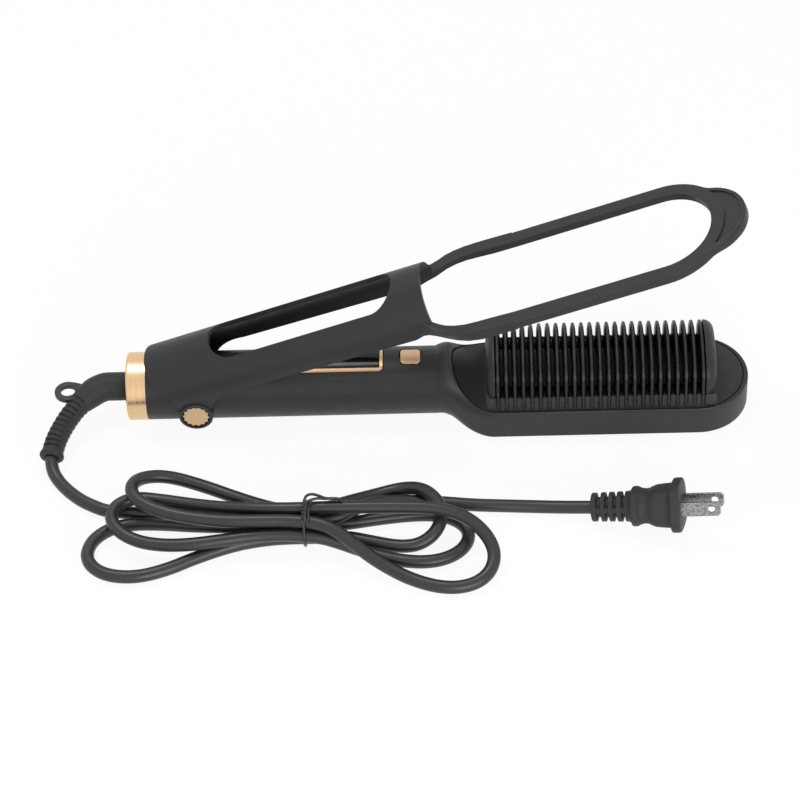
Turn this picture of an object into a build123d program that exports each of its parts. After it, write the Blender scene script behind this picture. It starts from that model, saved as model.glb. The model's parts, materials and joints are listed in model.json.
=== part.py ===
"""Clamp-arm hair straightening brush with its mains cord, in millimetres.

The model is drawn with X = 0 and the height of the handle's axis at the arm's hinge end, +X from the cord
end to the head, -Y towards the side the button's user sees, and +Z out of the comb.  `save` then moves every
piece so that the origin lies on the table under the middle of the brush.
"""
from build123d import *
from math import acos, atan2, ceil, cos, degrees, hypot, pi, radians, sin, sqrt
import os

os.makedirs("parts", exist_ok=True)

# Handle and head
HANDLE_R = 15.6            # the round handle, which lies on the table
WALL = 2.0                 # moulded wall of the two housing halves
PARTING_Z = -2.9           # joint between the two halves
RING_BACK_X = -31.8        # the back face of the metal end ring
RING_LENGTH = 9.1
RING_R = 15.7
RING_WALL = 1.7
RING_EDGE = 1.0            # rounded back edge of the ring
SHOULDER_X = 110.0         # the handle starts to widen here
HEAD_START_X = 138.0       # the head is at its full width from here
HEAD_END_X = 229.55        # centre of the head's round end
HEAD_HALF_WIDTH = 23.6
HEAD_CORNER = 1.6          # rounded corners of the head's section
ROUND_SHARE = 12.0         # degrees of the handle's round that turn into each half of a flat side
RIM_Z = 0.6                # the rim round the comb cover
LEDGE = 1.6                # thickness of the ledge that carries the cover

# Comb cover
COVER_HALF_WIDTH = 22.4
COVER_THICKNESS = 2.2
COVER_END_X = 228.2        # centre of the cover's round end
COVER_START_X = 137.6      # centre of the ellipse at the cover's handle end
COVER_START_REACH = 19.8   # how far that ellipse climbs up the slope
COVER_GAP = 0.55           # groove between the cover and the rim
SLOPE_TOP_X = 117.6        # the slope's top, just under the top of the handle
SLOPE_TOP_Z = 14.3
SLOPE_FOOT_X = 136.0       # the slope runs out level here
BRINK_X = 115.4            # the handle's top breaks away to the slope here

# Comb bed and teeth
BED_START_X = 133.0
BED_END_X = 237.4
BED_TOP_Z = 6.0
BED_HALF_WIDTH = 20.9      # at the cover, and BED_TOP_HALF_WIDTH at the top
BED_TOP_HALF_WIDTH = 19.4
TOOTH_COUNT = 25
TOOTH_FIRST_X = 138.27
TOOTH_PITCH = 3.871
TOOTH_THICKNESS = 1.2
TOOTH_FOOT_Z = 1.2
TOOTH_FOOT_HALF_WIDTH = 21.45
TOOTH_HALF_WIDTH = 19.0    # the half ellipse over each tooth
TOOTH_SPRING_Z = 13.2      # where that ellipse springs from the legs
TOOTH_TOP_Z = 23.7
TOOTH_BAND = 2.2           # width of the plastic band round each heated fin
TOOTH_SHOULDER = 0.85      # how much wider each tooth is where it meets the bed
START_PLATE = 3.95         # the closed plate at each end of the comb
END_PLATE = 4.85
DOME = ((0, 0), (0.45, 0.5), (0.8, 2.0), (1, 5.5))  # share of an end plate's thickness, and inset there
FIT = 0.1                  # slip fit between moulded pieces

# Heated comb
FIN_THICKNESS = 1.2
FIN_CORE_INSET = 4.2       # each fin is thicker this far inside its tooth
FIN_CORE_THICKNESS = 2.3
FIN_GAP = 0.15
FIN_FLOOR_Z = 5.4
TUNNEL_HALF_WIDTH = 12.3   # the opening under each fin
TUNNEL_TOP_Z = 19.0
TUNNEL_CORNER = 7.5
HEATER_START_X = 137.8
HEATER_END_X = 231.75
HEATER_BACK_Z = -1.2
HEATER_FLANGE = 1.3
HEATER_FLANGE_HALF_WIDTH = 18.2
PTC_LENGTH = 80.0
PTC_HALF_WIDTH = 12.0
PTC_THICKNESS = 3.0
PLATE_THICKNESS = 1.5
BRACKET_HALF_WIDTH = 16.0
BRACKET_THICKNESS = 2.0
FUSE_R = 2.0
FUSE_LENGTH = 12.0

# Clamp arm, drawn closed, with its own origin at the hinge
HINGE_Z = -2.35
ARM_OPEN = 20.85           # degrees, how far the spring holds the arm open
SADDLE_R = 17.9
SADDLE_WALL = 1.9
SADDLE_CENTRE_Z = 10.1
SADDLE_BACK_X = -14.0
SADDLE_FRONT_X = 122.0
SADDLE_SKIRT_Z = 8.2       # the lower edge near the hinge, and SADDLE_SKIRT_FRONT_Z at the front
SADDLE_SKIRT_FRONT_Z = 6.0
SLOT_START_X = 18.3
SLOT_END_X = 108.4
SLOT_HALF_WIDTH = 12.0
SLOT_START_R = 10.0
BOSS_R = 7.8
BOSS_FACE_Y = 19.0
LOOP_TOP_Z = 10.0
LOOP_BOTTOM_Z = 5.2
LOOP_INNER_Z = 6.4         # the rails' thinner inner edge ends here
LOOP_HEEL = 3.5            # width of the rails' underside that is level
LOOP_HALF_WIDTH = 28.9
LOOP_INNER_HALF_WIDTH = 22.45
LOOP_END_X = 230.3         # centre of the loop's round end
LOOP_EDGE = 0.7
TAB_R = 19.3               # finger tab at the tip
TAB_X = 249.2
TAB_BLEND = 12.0
TAB_RIM = 2.0
TAB_RECESS = 0.7
NECK_END_X = 160.0         # the neck between the saddle and the straight rails
# The neck's sections: X, then the Y and Z of its outer foot, outer top, inner top, inner foot and heel.
# Its underside is raised to clear the shoulder when the arm is shut.
NECK_SECTIONS = [
    (110, (17.7, 6.8), (17.5, 13.0), (16.1, 13.0), (16.1, 6.8), (16.8, 6.8)),
    (116, (18.2, 7.5), (17.9, 14.5), (16.1, 15.0), (16.1, 7.5), (17.0, 7.5)),
    (119, (19.2, 7.9), (18.6, 14.6), (16.1, 15.6), (16.1, 8.0), (17.5, 7.9)),
    (122, (21.3, 8.3), (20.9, 12.9), (16.6, 12.9), (16.5, 8.4), (18.6, 8.3)),
    (125, (23.3, 8.4), (23.4, 11.9), (18.1, 11.7), (17.9, 8.5), (20.4, 8.4)),
    (128, (25.2, 8.2), (25.9, 11.3), (19.6, 11.1), (19.5, 8.5), (22.3, 8.2)),
    (132, (27.0, 7.3), (27.5, 10.9), (21.0, 10.8), (21.0, 8.2), (24.2, 7.4)),
    (137, (28.2, 6.0), (28.3, 10.8), (22.1, 10.7), (22.1, 7.7), (25.1, 6.2)),
    (143, (28.8, 5.3), (28.6, 10.7), (22.4, 10.6), (22.4, 7.1), (25.4, 5.4)),
    (150, (28.9, 5.2), (28.8, 10.4), (22.4, 10.4), (22.4, 6.6), (25.4, 5.2)),
    (160, (28.9, 5.2), (28.9, 10.0), (22.45, 10.0), (22.45, 6.4), (25.4, 5.2)),
]

# Hinge
PIN_R = 2.0
PIN_CLEARANCE = 0.05
PIN_BOSS_R = 4.2
PIN_BOSS_LENGTH = 4.0
CAP_SEAT_Y = 17.4
CAP_REACH = 6.06
CAP_R = 5.45
CAP_FACE_Y = 18.5
SCALLOPS = 14
SCALLOP_R = 0.8
CAP_CLEARANCE = 0.3
SPRING_R = 3.5
SPRING_WIRE = 1.1
SPRING_TURNS = 4
SPRING_PITCH = 1.5
SPRING_LEG = 8.0

# Display and button
WINDOW_START_X = 44.0
WINDOW_END_X = 86.2
WINDOW_HALF_WIDTH = 7.6
FRAME_BAND = 1.9
FRAME_CORNER = 2.2
LENS_SUNK = 0.2
LENS_FLANGE = 0.8          # how far the lens reaches under its frame
INSERT_GAP = 0.2
BOARD_START_X = 40.0
BOARD_END_X = 109.0
BOARD_Z = 4.2
BOARD_THICKNESS = 1.6
BOARD_SIDE_GAP = 0.25
MODULE_MARGIN = 3.0
BUTTON_X = 98.6
BUTTON_SIZE = 9.3
BUTTON_CORNER = 2.0
BUTTON_GAP = 0.4
BUTTON_PROUD = 0.3
BUTTON_FLANGE = 1.1
BUTTON_FLANGE_TOP_Z = 12.1
BUTTON_TRAVEL = 0.6
SWITCH_SIZE = 6.0
SWITCH_HEIGHT = 3.5
SWITCH_PLUNGER_R = 1.7
SWITCH_GAP = 0.2           # left between the pressed button and the plunger

# Screws
HANDLE_SCREW_X = 22.0
COVER_SCREW_XS = (127.0, 243.0)
COVER_BOSS_Z = -7.0        # the bosses under the cover meet those of the back half here
SCREW_R = 1.3
SCREW_HEAD_R = 2.5
SCREW_HEAD = 1.8
SCREW_SINK = 1.0
HANDLE_SCREW_LENGTH = 20.0
COVER_SCREW_LENGTH = 11.5
SCREW_BOSS_R = 3.4
SCREW_GAP = 0.2

# Wires inside
WIRE_R = 0.8
WIRE_ARCS = 6

# Cord
CORD_D = 6.0
CORD_SIDES = 8
RELIEF_TRUNK_R = 6.5
RELIEF_TIP_R = 4.9
RELIEF_CORE_R = 4.1
RELIEF_RIBS = 11
RELIEF_RIB_THICKNESS = 1.7
EYE_R = 6.2
EYE_BORE_R = 3.1
EYE_THICKNESS = 3.0

# Plug
PLUG_ROLL = 28.8           # degrees that the blades' faces look up towards -Y
BLADE_LENGTH = 17.5
BLADE_WIDTH = 6.35
BLADE_THICKNESS = 1.5
BLADE_SPACING = 12.7
BLADE_HOLE_R = 1.55
PLUG_FLANGE_WIDTH = 26.4
PLUG_FLANGE_HEIGHT = 22.0
PLUG_FLANGE = 4.5
PLUG_LENGTH = 40.5         # from the end of its relief to the flange's face

BIG = 400.0                # larger than the brush, for cutting blocks
FLOOR_Z = -HANDLE_R
HEAD_TIP_X = HEAD_END_X + HEAD_HALF_WIDTH
PLACE = Location((-(RING_BACK_X + HEAD_TIP_X) / 2, 0, -FLOOR_Z))


def save(name, shape):
    """Move a finished piece to the table frame and write it."""
    export_step(PLACE * shape, f"parts/{name}.step")


def along_x(x):
    """A plane across the brush at x: its first axis is +Y and its second +Z."""
    return Plane(origin=(x, 0, 0), x_dir=(0, 1, 0), z_dir=(1, 0, 0))


def side_plane():
    """The lengthways upright plane: its first axis is +X and its second +Z."""
    return Plane(origin=(0, 0, 0), x_dir=(1, 0, 0), z_dir=(0, -1, 0))


def bar_x(radius, start, end, y=0.0, z=0.0):
    """A round bar along X."""
    disc = Plane(origin=(start, y, z), x_dir=(0, 1, 0), z_dir=(1, 0, 0)) * Circle(radius)
    return extrude(disc, end - start)


def bar_y(radius, start, end, x=0.0, z=0.0):
    """A round bar along Y."""
    disc = Plane(origin=(x, start, z), x_dir=(1, 0, 0), z_dir=(0, 1, 0)) * Circle(radius)
    return extrude(disc, end - start)


def bar_z(radius, start, end, x=0.0, y=0.0):
    """A round bar along Z."""
    return extrude(Plane(origin=(x, y, start)) * Circle(radius), end - start)


def block(x0, x1, y0, y1, z0, z1):
    """A block between two corners."""
    return Location(((x0 + x1) / 2, (y0 + y1) / 2, (z0 + z1) / 2)) * Box(x1 - x0, y1 - y0, z1 - z0)


def prism_x(points, start, end):
    """A straight-sided outline in Y and Z, drawn out along X."""
    return extrude(along_x(start) * make_face(Polyline(*points, close=True)), end - start)


def mirrored(points):
    """An outline given for +Y, followed by its mirror image."""
    return list(points) + [(-y, z) for y, z in reversed(points)]


# Housing

def head_section(half_width, top, bottom, top_r, bottom_r):
    """A level-bottomed section with rounded corners, as a face in local Y and Z."""
    bend = 1 - sqrt(0.5)
    right_top = half_width - top_r
    right_bottom = half_width - bottom_r
    edges = [
        Line((-right_bottom, bottom), (right_bottom, bottom)),
        ThreePointArc((right_bottom, bottom), (half_width - bottom_r * bend, bottom + bottom_r * bend),
                      (half_width, bottom + bottom_r)),
        Line((half_width, bottom + bottom_r), (half_width, top - top_r)),
        ThreePointArc((half_width, top - top_r), (half_width - top_r * bend, top - top_r * bend),
                      (right_top, top)),
        Line((right_top, top), (-right_top, top)),
        ThreePointArc((-right_top, top), (-half_width + top_r * bend, top - top_r * bend),
                      (-half_width, top - top_r)),
        Line((-half_width, top - top_r), (-half_width, bottom + bottom_r)),
        ThreePointArc((-half_width, bottom + bottom_r), (-half_width + bottom_r * bend, bottom + bottom_r * bend),
                      (-right_bottom, bottom)),
    ]
    return make_face(edges)


def round_section(radius):
    """A circle as eight arcs, one for each edge of head_section."""
    arcs = []
    for quarter in range(4):
        flat = 90 * quarter - 90 - ROUND_SHARE
        arcs.append(CenterArc((0, 0), radius, flat, 2 * ROUND_SHARE))
        arcs.append(CenterArc((0, 0), radius, flat + 2 * ROUND_SHARE, 90 - 2 * ROUND_SHARE))
    return make_face(arcs)


def housing_solid(inset):
    """The whole housing as one solid, `inset` inside its outer skin."""
    radius = HANDLE_R - inset
    corner = max(HEAD_CORNER - inset, 0.4)
    half_width = HEAD_HALF_WIDTH - inset
    bottom = -radius
    widening = HEAD_HALF_WIDTH - HANDLE_R
    # Each station: share of the way along the shoulder, share of the widening, top, and the two corner radii
    stations = [
        (0.29, 0.13, radius - 0.5, radius - 1.6, radius - 3.6),
        (0.42, 0.36, radius - 5.0, radius - 4.0, radius - 7.8),
        (0.59, 0.68, radius - 9.6, radius - 7.6, radius - 11.4),
        (0.77, 0.91, radius - 12.6, radius - 11.0, corner + 0.6),
        (1.0, 1.0, RIM_Z - inset + 0.6, corner, corner),
    ]
    sections = [along_x(SHOULDER_X) * round_section(radius)]
    for along, widened, top, top_r, bottom_r in stations:
        x = SHOULDER_X + along * (HEAD_START_X - SHOULDER_X)
        face = head_section(radius + widened * widening, top, bottom, max(top_r, corner), max(bottom_r, corner))
        sections.append(along_x(x) * face)
    shoulder = loft(sections)
    handle = bar_x(radius, RING_BACK_X + RING_LENGTH, SHOULDER_X)
    top = RIM_Z - inset + 0.6
    head_face = head_section(half_width, top, bottom, corner, corner)
    head = extrude(along_x(HEAD_START_X) * head_face, HEAD_END_X - HEAD_START_X)
    half = block(HEAD_END_X - 1, HEAD_END_X + 1, 0, 2 * half_width, -BIG / 2, BIG / 2)
    end_face = (along_x(HEAD_END_X) * head_face) & half
    end = revolve(end_face, Axis((HEAD_END_X, 0, 0), (0, 0, 1)), -180)
    return handle + shoulder + head + end


def above_slope(depth):
    """Everything above the cover's top face, with that face lowered by `depth` along its normal."""
    rise = SLOPE_TOP_Z - RIM_Z
    run = SLOPE_FOOT_X - SLOPE_TOP_X
    slope_r = (rise ** 2 + run ** 2) / (2 * rise)
    centre_z = RIM_Z + slope_r
    radius = slope_r + depth
    top_x = SLOPE_FOOT_X - sqrt(radius ** 2 - (centre_z - SLOPE_TOP_Z) ** 2)
    foot = (SLOPE_FOOT_X, RIM_Z - depth)
    arc = TangentArc(foot, (top_x, SLOPE_TOP_Z), tangent=(-1, 0))
    brink = (top_x - (SLOPE_TOP_X - BRINK_X), HANDLE_R + 0.1)
    rest = Polyline((top_x, SLOPE_TOP_Z), brink, (brink[0], BIG / 4), (BIG, BIG / 4), (BIG, foot[1]), foot)
    return extrude(side_plane() * make_face([arc, *rest.edges()]), BIG / 4, both=True)


def cover_outline(grow):
    """The comb cover seen from above, grown by a clearance."""
    half_width = COVER_HALF_WIDTH + grow
    middle = (COVER_START_X + COVER_END_X) / 2
    straight = Location((middle, 0)) * Rectangle(COVER_END_X - COVER_START_X, 2 * half_width)
    start = Location((COVER_START_X, 0)) * Ellipse(COVER_START_REACH + grow, half_width)
    end = Location((COVER_END_X, 0)) * Circle(half_width)
    return straight + start + end


def cover_prism(grow):
    return extrude(Plane(origin=(0, 0, -BIG / 8)) * cover_outline(grow), BIG / 4)


def window_outline(grow):
    """The display window seen from above."""
    length = WINDOW_END_X - WINDOW_START_X + 2 * grow
    middle = (WINDOW_START_X + WINDOW_END_X) / 2
    return Location((middle, 0)) * RectangleRounded(length, 2 * (WINDOW_HALF_WIDTH + grow), FRAME_CORNER + grow)


def button_outline(grow):
    size = BUTTON_SIZE + 2 * grow
    return Location((BUTTON_X, 0)) * RectangleRounded(size, size, BUTTON_CORNER + grow)


def upward(outline, start=0.0, end=BIG / 4):
    return extrude(Plane(origin=(0, 0, start)) * outline, end - start)


CAP_DISC = 2.0             # thickness of the end cap's disc
LEDGE_WIDTH = 1.9          # how far the ledge reaches in under the cover
PILLAR_XS = (46.0, 104.0)  # pillars that the control board stands on
PILLAR_R = 2.2
POST_XS = (150.0, 219.0)   # posts that the heater's bracket stands on
POST_Y = 14.0
POST_R = 1.9
SCREW_SEAT_Z = FLOOR_Z + SCREW_SINK + SCREW_HEAD


def screw_ways():
    """Clearance for the screws through the back half."""
    ways = bar_z(SCREW_R + SCREW_GAP, SCREW_SEAT_Z - 0.1, PARTING_Z + 1, HANDLE_SCREW_X)
    for x in COVER_SCREW_XS:
        ways = ways + bar_z(SCREW_R + SCREW_GAP, SCREW_SEAT_Z - 0.1, PARTING_Z, x)
    for x in (HANDLE_SCREW_X, *COVER_SCREW_XS):
        ways = ways + bar_z(SCREW_HEAD_R + SCREW_GAP, FLOOR_Z - 1, SCREW_SEAT_Z, x)
    return ways


def housing_halves():
    skin = housing_solid(0) - above_slope(0)
    hollow = housing_solid(WALL) - above_slope(COVER_THICKNESS + LEDGE)
    hollow = hollow + bar_x(HANDLE_R - RING_WALL - WALL, RING_BACK_X, SHOULDER_X - 10)
    spigot = bar_x(RING_R - RING_WALL - FIT / 2, RING_BACK_X + CAP_DISC, RING_BACK_X + RING_LENGTH + 1)
    shell = skin + spigot - hollow
    bound = housing_solid(WALL / 2)
    # Bearing bosses for the hinge pin
    for low in (-HANDLE_R + WALL / 2, HANDLE_R - WALL - PIN_BOSS_LENGTH):
        boss = bar_y(PIN_BOSS_R, low, low + PIN_BOSS_LENGTH + WALL / 2, 0, HINGE_Z)
        shell = shell + (boss & bound)
    shell = shell - bar_y(PIN_R + PIN_CLEARANCE, -BIG / 8, BIG / 8, 0, HINGE_Z)
    # The seat of the comb cover, and the opening inside its ledge
    shell = shell - (cover_prism(COVER_GAP) & above_slope(COVER_THICKNESS))
    well = upward(cover_outline(-LEDGE_WIDTH), FLOOR_Z + WALL + 2, BIG / 4) & above_slope(BIG / 32)
    shell = shell - well
    # The display window and the button's way through the wall
    shell = shell - upward(window_outline(INSERT_GAP)) - upward(button_outline(BUTTON_GAP))
    far = BIG * 2
    front = shell & block(-far, far, -far, far, PARTING_Z + FIT / 4, far)
    back = shell & block(-far, far, -far, far, -far, PARTING_Z)
    # The handle's screw pulls the halves together, and the others pull in the comb cover
    front_boss = bar_z(SCREW_BOSS_R, PARTING_Z + FIT / 4, HANDLE_R, HANDLE_SCREW_X) & bound
    front = front + front_boss - bar_z(SCREW_R + FIT / 4, PARTING_Z - 1, HANDLE_SCREW_TIP_Z + 1, HANDLE_SCREW_X)
    back = back + (bar_z(SCREW_BOSS_R, FLOOR_Z, PARTING_Z, HANDLE_SCREW_X) & bound)
    for x in COVER_SCREW_XS:
        back = back + bar_z(SCREW_BOSS_R, FLOOR_Z + WALL / 2, COVER_BOSS_Z - FIT / 4, x)
    for x in PILLAR_XS:
        back = back + bar_z(PILLAR_R, FLOOR_Z + WALL / 2, BOARD_Z, x)
    for x in POST_XS:
        for y in (-POST_Y, POST_Y):
            back = back + bar_z(POST_R, FLOOR_Z + WALL / 2, BRACKET_Z, x, y)
    return front, back - screw_ways()


def comb_cover():
    plate = (cover_prism(0) & above_slope(COVER_THICKNESS - FIT / 2)) - above_slope(0)
    low = RIM_Z - 0.4
    wall = prism_x(mirrored([(BED_HALF_WIDTH, low), (BED_TOP_HALF_WIDTH, BED_TOP_Z)]), BED_START_X, BED_END_X)
    cover = plate + wall
    for x in COVER_SCREW_XS:
        cover = cover + (bar_z(SCREW_BOSS_R, COVER_BOSS_Z, BED_TOP_Z, x) - above_slope(COVER_THICKNESS / 2))
    inner = TOOTH_HALF_WIDTH - TOOTH_BAND
    cover = cover - block(BED_START_X + START_PLATE, BED_END_X - END_PLATE, -inner, inner, -BIG / 8, BIG / 8)
    teeth = [TOOTH_FIRST_X + n * TOOTH_PITCH for n in range(TOOTH_COUNT)]
    arch_face = tooth_outline(0, TOOTH_FOOT_Z) - tooth_outline(TOOTH_BAND, TOOTH_FOOT_Z - 1)
    arches = [extrude(along_x(x - TOOTH_THICKNESS / 2) * arch_face, TOOTH_THICKNESS) for x in teeth]
    cover = cover + arches
    cover = cover + end_plate(BED_END_X - END_PLATE, END_PLATE) + end_plate(BED_START_X + START_PLATE, -START_PLATE)
    for x in COVER_SCREW_XS:
        cover = cover - bar_z(SCREW_R + FIT / 4, COVER_BOSS_Z - 1, COVER_SCREW_TIP_Z + 0.5, x)
    return cover


def end_plate(start, reach):
    """The closed plate at an end of the comb, whose outer face is domed."""
    sections = []
    for along, inset in DOME:
        half_width = TOOTH_HALF_WIDTH - inset
        legs = Polyline((-half_width, TOOTH_SPRING_Z), (-half_width, RIM_Z - 0.4), (half_width, RIM_Z - 0.4),
                        (half_width, TOOTH_SPRING_Z))
        crown = EllipticalCenterArc((0, TOOTH_SPRING_Z), half_width, TOOTH_TOP_Z - TOOTH_SPRING_Z - inset,
                                    start_angle=0, arc_size=180)
        sections.append(along_x(start + along * reach) * make_face([*legs.edges(), crown]))
    return loft(sections)


def tooth_outline(inset, foot_z):
    """The outline of a tooth, `inset` inside its outer edge, standing on foot_z."""
    half_width = TOOTH_HALF_WIDTH - inset
    arch = TOOTH_TOP_Z - TOOTH_SPRING_Z - inset
    foot = half_width + (TOOTH_FOOT_HALF_WIDTH - TOOTH_HALF_WIDTH if inset == 0 else 0)
    shoulder = half_width + (TOOTH_SHOULDER if inset == 0 else 0)
    legs = Polyline((-half_width, TOOTH_SPRING_Z), (-shoulder, BED_TOP_Z), (-foot, foot_z), (foot, foot_z),
                    (shoulder, BED_TOP_Z), (half_width, TOOTH_SPRING_Z))
    crown = EllipticalCenterArc((0, TOOTH_SPRING_Z), half_width, arch, start_angle=0, arc_size=180)
    return make_face([*legs.edges(), crown])


def heater_comb():
    side = TOOTH_HALF_WIDTH - TOOTH_BAND - FIN_GAP
    comb = block(HEATER_START_X, HEATER_END_X, -side, side, HEATER_BACK_Z, FIN_FLOOR_Z)
    flange_top = RIM_Z - COVER_THICKNESS - FIT
    for y in (-1, 1):
        low, high = sorted((y * (PTC_HALF_WIDTH + 0.3), y * side))
        comb = comb + block(HEATER_START_X, HEATER_END_X, low, high, flange_top - HEATER_FLANGE, HEATER_BACK_Z)
        low, high = sorted((y * side, y * HEATER_FLANGE_HALF_WIDTH))
        comb = comb + block(HEATER_START_X, HEATER_END_X, low, high, flange_top - HEATER_FLANGE, flange_top)
    corner_y = TUNNEL_HALF_WIDTH - TUNNEL_CORNER
    corner_z = TUNNEL_TOP_Z - TUNNEL_CORNER
    tunnel = [
        Line((-TUNNEL_HALF_WIDTH, corner_z), (-TUNNEL_HALF_WIDTH, FIN_FLOOR_Z)),
        Line((-TUNNEL_HALF_WIDTH, FIN_FLOOR_Z), (TUNNEL_HALF_WIDTH, FIN_FLOOR_Z)),
        Line((TUNNEL_HALF_WIDTH, FIN_FLOOR_Z), (TUNNEL_HALF_WIDTH, corner_z)),
        CenterArc((corner_y, corner_z), TUNNEL_CORNER, 0, 90),
        Line((corner_y, TUNNEL_TOP_Z), (-corner_y, TUNNEL_TOP_Z)),
        CenterArc((-corner_y, corner_z), TUNNEL_CORNER, 90, 90),
    ]
    fin_face = tooth_outline(TOOTH_BAND + FIN_GAP, FIN_FLOOR_Z - 0.5) - make_face(tunnel)
    core_face = tooth_outline(FIN_CORE_INSET, FIN_FLOOR_Z - 0.5) - make_face(tunnel)
    fins = []
    for n in range(TOOTH_COUNT):
        x = TOOTH_FIRST_X + n * TOOTH_PITCH
        fins.append(extrude(along_x(x - FIN_THICKNESS / 2) * fin_face, FIN_THICKNESS))
        fins.append(extrude(along_x(x - FIN_CORE_THICKNESS / 2) * core_face, FIN_CORE_THICKNESS))
    return comb + fins


BRACKET_TOP_Z = HEATER_BACK_Z - PTC_THICKNESS - PLATE_THICKNESS
BRACKET_Z = BRACKET_TOP_Z - BRACKET_THICKNESS
HANDLE_SCREW_TIP_Z = FLOOR_Z + SCREW_SINK + HANDLE_SCREW_LENGTH
COVER_SCREW_TIP_Z = FLOOR_Z + SCREW_SINK + COVER_SCREW_LENGTH
MIDDLE_X = (HEATER_START_X + HEATER_END_X) / 2


def screws():
    made = []
    for x in (HANDLE_SCREW_X, *COVER_SCREW_XS):
        length = HANDLE_SCREW_LENGTH if x == HANDLE_SCREW_X else COVER_SCREW_LENGTH
        start = FLOOR_Z + SCREW_SINK
        screw = bar_z(SCREW_R, start, start + length, x) + bar_z(SCREW_HEAD_R, start, start + SCREW_HEAD, x)
        slot = block(x - 1.7, x + 1.7, -0.35, 0.35, start - 1, start + 0.9)
        cross = block(x - 0.35, x + 0.35, -1.7, 1.7, start - 1, start + 0.9)
        made.append(screw - slot - cross)
    return made[0] + made[1:]


def pierced_ring():
    ring = bar_x(RING_R, RING_BACK_X, RING_BACK_X + RING_LENGTH)
    ring = fillet(ring.edges().filter_by(GeomType.CIRCLE).sort_by(Axis.X)[0], RING_EDGE)
    return ring - bar_x(RING_R - RING_WALL, RING_BACK_X - 1, RING_BACK_X + RING_LENGTH + 1)


def end_cap():
    radius = RING_R - RING_WALL - FIT / 2
    disc = bar_x(radius, RING_BACK_X + 0.3, RING_BACK_X + CAP_DISC - FIT / 4)
    return disc - bar_x(RELIEF_TRUNK_R + FIT / 2, RING_BACK_X - 1, RING_BACK_X + CAP_DISC + 1)


def display_pieces():
    inner_r = HANDLE_R - WALL
    frame = upward(window_outline(0)) - upward(window_outline(-FRAME_BAND))
    frame = (frame & bar_x(HANDLE_R + FIT / 2, WINDOW_START_X - 5, WINDOW_END_X + 5)) - bar_x(inner_r, 0, BUTTON_X)
    lens = upward(window_outline(-FRAME_BAND - FIT)) & bar_x(HANDLE_R - LENS_SUNK, 0, BUTTON_X)
    flange = upward(window_outline(LENS_FLANGE)) & bar_x(inner_r - FIT / 2, 0, BUTTON_X)
    lens = lens - bar_x(inner_r - FIT, -5, BUTTON_X + 5) + (flange - bar_x(inner_r - 0.9, -5, BUTTON_X + 5))
    module_top = 11.0
    module = block(WINDOW_START_X + MODULE_MARGIN, WINDOW_END_X - MODULE_MARGIN, -6, 6, BOARD_TOP_Z, module_top)
    return frame, lens, module


BOARD_TOP_Z = BOARD_Z + BOARD_THICKNESS
BOARD_HALF_WIDTH = sqrt((HANDLE_R - WALL) ** 2 - BOARD_TOP_Z ** 2) - BOARD_SIDE_GAP


def power_button():
    cap = upward(button_outline(0)) & bar_x(HANDLE_R + BUTTON_PROUD, BUTTON_X - 10, BUTTON_X + 10)
    cap = cap - block(BUTTON_X - 10, BUTTON_X + 10, -10, 10, 0, BUTTON_FLANGE_TOP_Z)
    size = BUTTON_SIZE + 2
    flange = Location((BUTTON_X, 0)) * RectangleRounded(size, size, BUTTON_CORNER)
    return cap + upward(flange, BUTTON_FLANGE_TOP_Z - BUTTON_FLANGE, BUTTON_FLANGE_TOP_Z)


def tact_switch():
    half = SWITCH_SIZE / 2
    top = BOARD_TOP_Z + SWITCH_HEIGHT
    body = block(BUTTON_X - half, BUTTON_X + half, -half, half, BOARD_TOP_Z, top)
    plunger_top = BUTTON_FLANGE_TOP_Z - BUTTON_FLANGE - BUTTON_TRAVEL - SWITCH_GAP
    return body + bar_z(SWITCH_PLUNGER_R, top - 0.2, plunger_top, BUTTON_X)


# Arm

def opened(shape):
    """Move a piece of the closed arm, drawn about its hinge, to the open pose of the photograph."""
    return Location((0, 0, HINGE_Z)) * (Rotation(0, -ARM_OPEN, 0) * shape)


def saddle_section(radius, foot_z):
    """An upside-down U in Y and Z."""
    legs = Polyline((-radius, SADDLE_CENTRE_Z), (-radius, foot_z), (radius, foot_z), (radius, SADDLE_CENTRE_Z))
    return make_face([*legs.edges(), CenterArc((0, SADDLE_CENTRE_Z), radius, 0, 180)])


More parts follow.
